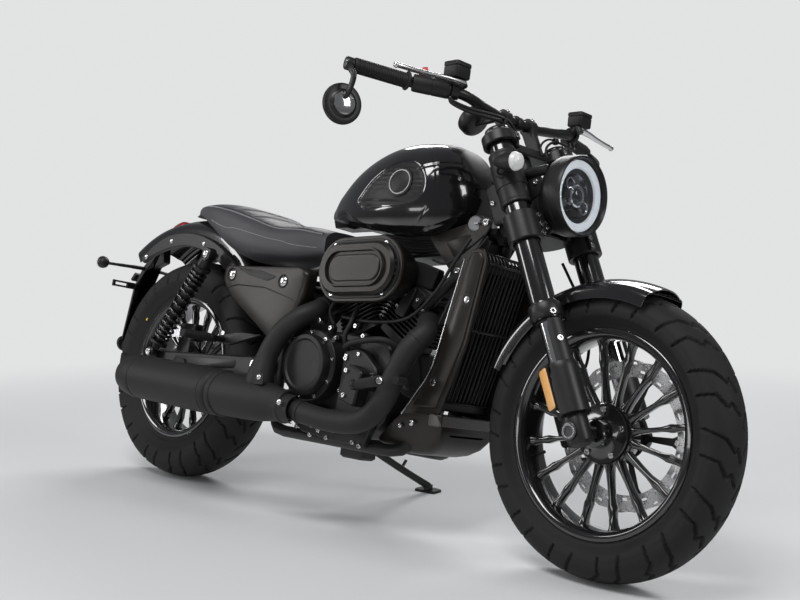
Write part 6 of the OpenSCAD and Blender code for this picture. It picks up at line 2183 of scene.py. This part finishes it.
# ---------------------------------------------------------------- bars and controls
BAR_END = Vector((-61, 416, 1159))
GRIP_START = Vector((-22, 290, 1132))
BAR_DIR = (BAR_END - GRIP_START).normalized()


def handlebar():
    """Handlebar with a knurled band in each clamp."""
    bm = bmesh.new()
    mid = spline([(-22, 290, 1132), (36, 200, 1093), (32, 120, 1083), (28, 70, 1078), (27, 45, 1077),
                  (27, 0, 1077), (27, -45, 1077), (28, -70, 1078), (32, -120, 1083), (36, -200, 1093),
                  (-22, -290, 1132)], 10)
    path = [BAR_END] + mid + [sided(BAR_END, -1)]
    tube(bm, path, 12.3, 32)
    # Knurled band in each clamp
    for s in (1, -1):
        lathe(bm, [(12.3, -16), (12.45, -15), (12.45, 15), (12.3, 16)], (27, 45 * s, 1077), LEFT, 40)
    ob = finish_mesh("handlebar_tube", bm, FORK, "steering", "satin", smooth=50)
    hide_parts("handlebar")


def grips():
    """Ribbed barrels with a flange at the inner end."""
    for s in (1, -1):
        bm = bmesh.new()
        a = sided(GRIP_START, s)
        b = sided(BAR_END, s)
        d = (b - a).normalized()
        L = (b - a).length
        prof = [(12.6, 4), (20, 4), (21.4, 5.4), (21.4, 8), (20, 9.4), (17, 10.4), (16.6, 13)]
        h = 14
        while h < L - 12:
            prof += [(16.9, h), (16.9, h + 2.6), (16.0, h + 3.3), (16.0, h + 4.6), (16.9, h + 5.3)]
            h += 5.3
        prof += [(16.9, L - 7), (16.4, L - 2), (15, L - 0.5), (12.6, L - 0.5)]
        lathe(bm, prof, a, d, 48)
        u, v, _ = basis(d)
        for k in range(10):
            ang = turn(k, 10)
            o = u * cos(ang) + v * sin(ang)
            rod(bm, a + o * 16.2 + d * 15, a + o * 16.2 + d * (L - 10), 0.8, 6, 0.2)
        finish_mesh("grip_left" if s > 0 else "grip_right", bm, FORK, "steering", "rubber",
                    smooth=40)
    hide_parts("grips")


def switch_housing(s, tag):
    """Switches, lever perch and fluid reservoir of one side."""
    g0 = sided(GRIP_START, s)
    d = sided(BAR_DIR, s)
    bm = bmesh.new()
    # Switch housing in two halves round the bar
    a, b = Vector((28, 218 * s, 1100)), g0 - d * 7
    dd = (b - a).normalized()
    L = (b - a).length
    lathe(bm, [(12.6, 0), (17, 0.4), (19.2, 3), (20, 8), (20, L * 0.47), (19.3, L * 0.48),
               (19.3, L * 0.5), (20, L * 0.51), (20, L - 8), (19.2, L - 2), (17, L), (12.6, L)],
          a, dd, 44)
    up = Vector((0.35, 0, 1)).normalized()
    # Buttons facing the rider: a rocker above, a round one below
    back = Vector((-0.9, 0, 0.42)).normalized()
    p = a + dd * (L * 0.3)
    rod(bm, p + back * 17, p + back * 23.4, 5.4, 24, 1, mat=1)
    p = a + dd * (L * 0.7)
    rod(bm, p + back * 17, p + back * 23, 6.4, 24, 1, mat=2 if s < 0 else 1)
    m4 = Matrix.Translation(p + up * 17) @ dd.to_track_quat('X', 'Z').to_matrix().to_4x4()
    box(bm, (-13, -7.5, -2), (13, 7.5, 8), 2.2, 2 if s < 0 else 1, m4)
    if s < 0:
        # Raised rocker that stops the engine
        seat_at = Vector((-2.5, -262, 1119.5))
        lift = Vector((0.1, 0, 0.995))
        for h0, h1, r0, k in ((14, 33, 10, 0), (31, 43, 9, 2)):
            rod(bm, seat_at + lift * h0 - dd * 4, seat_at + lift * h1 - dd * 4, r0, 4, 2.4, mat=k)
    # Lever perch and its clamp
    lathe(bm, [(12.6, -8), (18.6, -8), (19.6, -7), (19.6, 7), (18.6, 8), (12.6, 8)],
          a + dd * -9 + Vector((2, 0, 0)), dd, 40)
    tube(bm, [(34, 214 * s, 1098), (46, 216 * s, 1108), (62, 220 * s, 1122)], [11, 11.5, 10], 24)
    rod(bm, (60, 213 * s, 1090), (60, 213 * s, 1112), 9, 24)
    bolt(bm, (60, 213 * s, 1112), UP, 5, 2.4, mat=3)
    # Fluid reservoir with a slanted lid, built on both sides
    level = T(62, 224 * s, 1128) @ R(RAKE, 'Y')
    sec = rounded([(-21.6, -23.6), (21.6, -23.6), (21.6, 23.6), (-21.6, 23.6)], 6, 4)
    rl = []
    for z, k in ((-17.6, 0.9), (-15, 0.97), (6, 0.98), (7, 0.9), (8, 0.9), (8.6, 1), (15.6, 1),
                 (17.4, 0.95)):
        rl.append([level @ Vector((q.x * k, q.y * k, z)) for q in sec])
    rings(bm, rl)
    bmesh.ops.recalc_face_normals(bm, faces=bm.faces)
    for x, y in ((-15, -17), (15, 17)):
        bolt(bm, level @ Vector((x, y, 17)), level.to_3x3() @ Vector(UP), 2.6, 0.8, mat=3)
    finish_mesh("switch_housing_" + tag, bm, FORK, "steering",
                ["plastic", "rubber", "red_plastic", "steel"], smooth=38)


def lever(s, tag):
    """Flattened lever blade with a ball end."""
    bm = bmesh.new()
    path = spline([(62, 212 * s, 1098), (58, 240 * s, 1100), (52, 272 * s, 1103),
                   (46, 306 * s, 1104), (41, 344 * s, 1104), (37, 372 * s, 1106),
                   (33, 389 * s, 1108)], 8)
    n = len(path)
    rl = []
    for i, q in enumerate(path):
        t = i / (n - 1)
        td = (path[min(n - 1, i + 1)] - path[max(0, i - 1)]).normalized()
        sidev = td.cross(Vector(UP)).normalized()
        wdt = along([9, 8.4, 6.6, 6.0, 5.8, 5.6], t)
        th = along([5.8, 4.6, 4.2, 4.2, 4.4, 4.8], t)
        rl.append([q + sidev * (wdt * sgnpow(cos(turn(k, 20)), 0.75))
                   + Vector(UP) * (th * sgnpow(sin(turn(k, 20)), 0.75)) for k in range(20)])
    rings(bm, rl)
    ball(bm, path[-1], 6.9, 20)
    ob = finish_mesh("lever_" + tag, bm, FORK, "steering", "steel", smooth=50)
    if s > 0:
        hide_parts("hand_controls")


def mirror(s, tag):
    """Bar-end mirror: weight, flat arm, dark shell and glass."""
    d = sided(BAR_DIR, s)
    bm = bmesh.new()
    e = sided(BAR_END, s)
    lathe(bm, [(0, 0.9), (13.6, 0.9), (14.8, 2), (14.8, 16), (13.4, 17.7), (6, 17.7), (5, 16.6),
               (0, 16.6)], e, d, 40)
    arm = spline([e + d * 9, Vector((-52, 437 * s, 1138)), Vector((-46, 438 * s, 1116)),
                  Vector((-62, 436 * s, 1099)), Vector((-86, 433 * s, 1088))], 6)
    rl = []
    for i, q in enumerate(arm):
        td = (arm[min(len(arm) - 1, i + 1)] - arm[max(0, i - 1)]).normalized()
        sv = td.cross(Vector(LEFT)).normalized()
        rl.append([q + sv * (6.8 * sgnpow(cos(turn(k, 16)), 0.6))
                   + Vector(LEFT) * (4.4 * sgnpow(sin(turn(k, 16)), 0.6)) for k in range(16)])
    rings(bm, rl)
    rod(bm, e + d * 15, e + d * 17.9, 9.5, 24, 1, mat=2)
    yaw = radians(15)
    ax = Vector((cos(RAKE) * cos(yaw), s * sin(yaw), -sin(RAKE) * cos(yaw)))
    c = Vector((-101, 429 * s, 1081))
    lathe(bm, [(0, 9.6), (14, 9.4), (24, 7.4), (30, 4.0), (31.5, 1.6), (33, 1.4), (41, 1.8),
               (44, 0), (44.6, -4), (44.6, -8), (44, -10.4), (42.4, -10.9), (41.6, -9)], c, ax, 72)
    bmesh.ops.recalc_face_normals(bm, faces=bm.faces)
    lathe(bm, [(25, 6.6), (24.4, 8.6), (20, 10.2), (12, 11.6), (0, 12.2)], c, ax, 48, mat=2)
    lathe(bm, [(42, -9.2), (30, -9.8), (16, -10.2), (0, -10.4)], c, ax, 72, mat=1)
    ob = finish_mesh("bar_end_mirror_" + tag, bm, FORK, "steering", ["satin", "mirror", "chrome"],
                     smooth=40)
    if s > 0:
        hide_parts("mirrors")


def turn_signal(s, tag):
    """Faceted clear turn signal beside the fork."""
    bm = bmesh.new()
    ahead = Vector((cos(RAKE), 0, -sin(RAKE)))
    c = Vector((90, 153 * s, 901))
    lathe(bm, [(0, -51.6), (4.4, -51), (7, -48), (14.4, -34), (18.6, -20), (21, -8), (21.6, 2),
               (21.6, 7), (20.6, 8)], c, ahead, 56)
    lathe(bm, [(21.0, 8), (20.6, 12), (17.6, 19), (10.6, 24.2), (4, 25.8), (0, 25.9)], c, ahead, 22,
          mat=1)
    lathe(bm, [(20, 8.5), (16, 5), (10, 3.2), (0, 2.6)], c, ahead, 12, mat=2)
    u, v, _ = basis(ahead)
    for k in range(6):
        a = pi / 3 * k
        ball(bm, c + ahead * 6 + (u * cos(a) + v * sin(a)) * 11.5, 4.4, 12, mat=3)
    ball(bm, c + ahead * 7, 5.5, 14, mat=3)
    tube(bm, spline([(48, 141.2 * s, 900), (60, 145 * s, 902), (72, 149 * s, 905)], 5), 7.4, 20)
    lathe(bm, [(7, 0), (13, 0.4), (13.6, 2), (12, 5), (8, 7)], (46, 139.2 * s, 899.4),
          (0.45, 0.9 * s, 0.05), 28)
    ob = finish_mesh("front_turn_signal_" + tag, bm, FORK, "steering",
                     ["plastic", "lens", "chrome", "badge"], smooth=30)
    if s > 0:
        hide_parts("front_indicators")


def controls():
    """Both sides' controls, mirrors and turn signals."""
    for s, tag in ((1, "left"), (-1, "right")):
        for build in (switch_housing, lever, mirror, turn_signal):
            build(s, tag)


def instrument():
    """Round instrument with a recessed dark face, on its post."""
    m = T(-87, 0, 1150) @ R(-RAKE, 'Y')
    bm = bmesh.new()
    lathe(bm, [(0, -14.6), (26, -14.6), (34, -11), (37.4, -4), (37.6, 8), (37.4, 13), (36, 14.6),
               (33.4, 14.6), (32.6, 12.6), (31.4, 11.8)], CENTRE, UP, 72)
    lathe(bm, [(31.6, 12.4), (26, 12.9), (0, 13.1)], CENTRE, UP, 72, mat=1)
    bmesh.ops.transform(bm, matrix=m, verts=bm.verts)
    post = m @ Vector((0, 0, -12))
    tube(bm, spline([(20, 0, 1088), (-10, 0, 1112), (-40, 0, 1124), post], 5), 6.6, 16)
    lathe(bm, [(12.6, -9), (16.6, -9), (17.4, -8), (17.4, 8), (16.6, 9), (12.6, 9)], (27, 0, 1077),
          LEFT, 36)
    ob = finish_mesh("round_instrument", bm, FORK, "steering", ["satin", "dark_glass"],
                     smooth=40)
    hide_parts("instrument")


def cables():
    """Cables and hoses, bound where they meet the fork."""
    bm = bmesh.new()
    main = [(23.8, 224, 1081), (26, 222, 1066), (40, 190, 1046), (52, 140, 1038), (56, 95, 1034),
            (52, 66, 1018), (48.4, 56, 1000), (48.4, 56, 984)]
    for dx, dy, dz, r in ((0, 0, 0, 3.8), (7, -6, 6, 3.2), (-5, -12, 10, 2.6)):
        pts = [Vector((x + dx * (0.4 + 0.6 * sin(pi * i / 7)), -(y + dy * sin(pi * i / 7)),
                       z + dz * sin(pi * i / 7))) for i, (x, y, z) in enumerate(main)]
        tube(bm, spline(pts, 6), r, 12)
    p2 = [Vector((x + 3, y - 6, z - 2)) for x, y, z in main]
    tube(bm, spline(p2, 6), 3.0, 12)
    p3 = [Vector((x - 3, y - 16, z + 6)) for x, y, z in main]
    tube(bm, spline(p3, 6), 2.6, 12)
    for s in (1, -1):
        lathe(bm, [(6, -4), (8.6, -3.4), (8.6, 3.4), (6, 4)], (57, 95 * s, 1036), (0.2, s, 0.1), 20)
    ob = finish_mesh("cable_bundle", bm, FORK, "steering", "rubber", smooth=60)
    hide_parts("control_cables")


def ignition_barrel():
    """Ignition barrel with its knurled key."""
    bm = bmesh.new()
    c, ax = Vector((1042, -52, 731)), Vector((0.25, -0.96, 0.0)).normalized()
    lathe(bm, [(0, -34), (21, -34), (21, -2), (22.6, 0), (22.6, 5), (21, 6.4), (18.4, 6.4), (18, 4)],
          c, ax, 48)
    lathe(bm, [(17.4, 4), (17.4, 14), (16, 15.6), (0, 15.6)], c, ax, 40, mat=1)
    u, v, _ = basis(ax)
    for k in range(18):
        a = turn(k, 18)
        o = u * cos(a) + v * sin(a)
        rod(bm, c + o * 17 + ax * 5, c + o * 17 + ax * 14.6, 1.5, 6, 0.3, mat=1)
    m4 = Matrix.Translation(c + ax * 16) @ R(-0.25, 'Z')
    box(bm, (-13, -1.4, -2.6), (13, 1.4, 2.6), 0.6, 1, m4)
    finish_mesh("ignition_barrel", bm, BIKE, "chassis", ["plastic", "alu"], smooth=40)


def coolant_hoses():
    """Coolant hoses between the radiator and the engine."""
    bm = bmesh.new()
    up = spline([(1056, -72, 606), (1024, -84, 600), (990, -88, 566), (962, -84, 540), (932, -72, 520)], 7)
    tube(bm, up, 12, 24)
    dn = spline([(998, -62, 318), (970, -84, 322), (940, -96, 330), (910, -98, 342), (884, -94, 352)], 7)
    tube(bm, dn, 12, 24)
    for pth in (up, dn):
        for i in (3, len(pth) - 4):
            t = (pth[i + 1] - pth[i - 1]).normalized()
            lathe(bm, [(12, -4), (13.2, -3.6), (13.2, 3.6), (12, 4)], pth[i], t, 32, mat=1)
    finish_mesh("coolant_hoses", bm, BIKE, "chassis", ["rubber", "steel"], smooth=50)


def wiring():
    """Lines that run down behind the radiator."""
    bm = bmesh.new()
    tube(bm, spline([(1088, -66, 700), (1062, -88, 640), (1030, -92, 560), (1000, -104, 470),
                     (972, -110, 420), (930, -110, 392), (880, -108, 380)], 7), 3.2, 12)
    tube(bm, spline([(1084, -74, 704), (1050, -96, 660), (1002, -98, 632), (960, -96, 640)], 7), 3.0, 12)
    finish_mesh("wiring_and_lines", bm, BIKE, "chassis", "rubber", smooth=60)


for build in (stage, wheels, front_disc, rear_disc, sprocket, tank, tank_badges, filler_cap,
              tank_nose_trim, seat, seat_sewing, fenders, fender_rails, side_covers, battery_box,
              frame_tubes, neck_gussets, steering_head, swingarm, rear_axle, rear_shocks,
              crankcase, engine_covers, cylinders, air_cleaner, intake, engine_fastenings,
              engine_hoses, muffler, exhaust_pipes, radiator, radiator_shields, belly_scoop,
              rider_pegs, passenger_pegs, rear_lights, plate_holder, drive_chain, rear_caliper,
              side_stand, fork_clamps, fork_tubes, fork_legs, fork_covers, fork_reflectors,
              front_axle, front_caliper, brake_hose, headlight, headlight_insert, handlebar, grips,
              controls, instrument, cables, ignition_barrel, coolant_hoses, wiring):
    build()
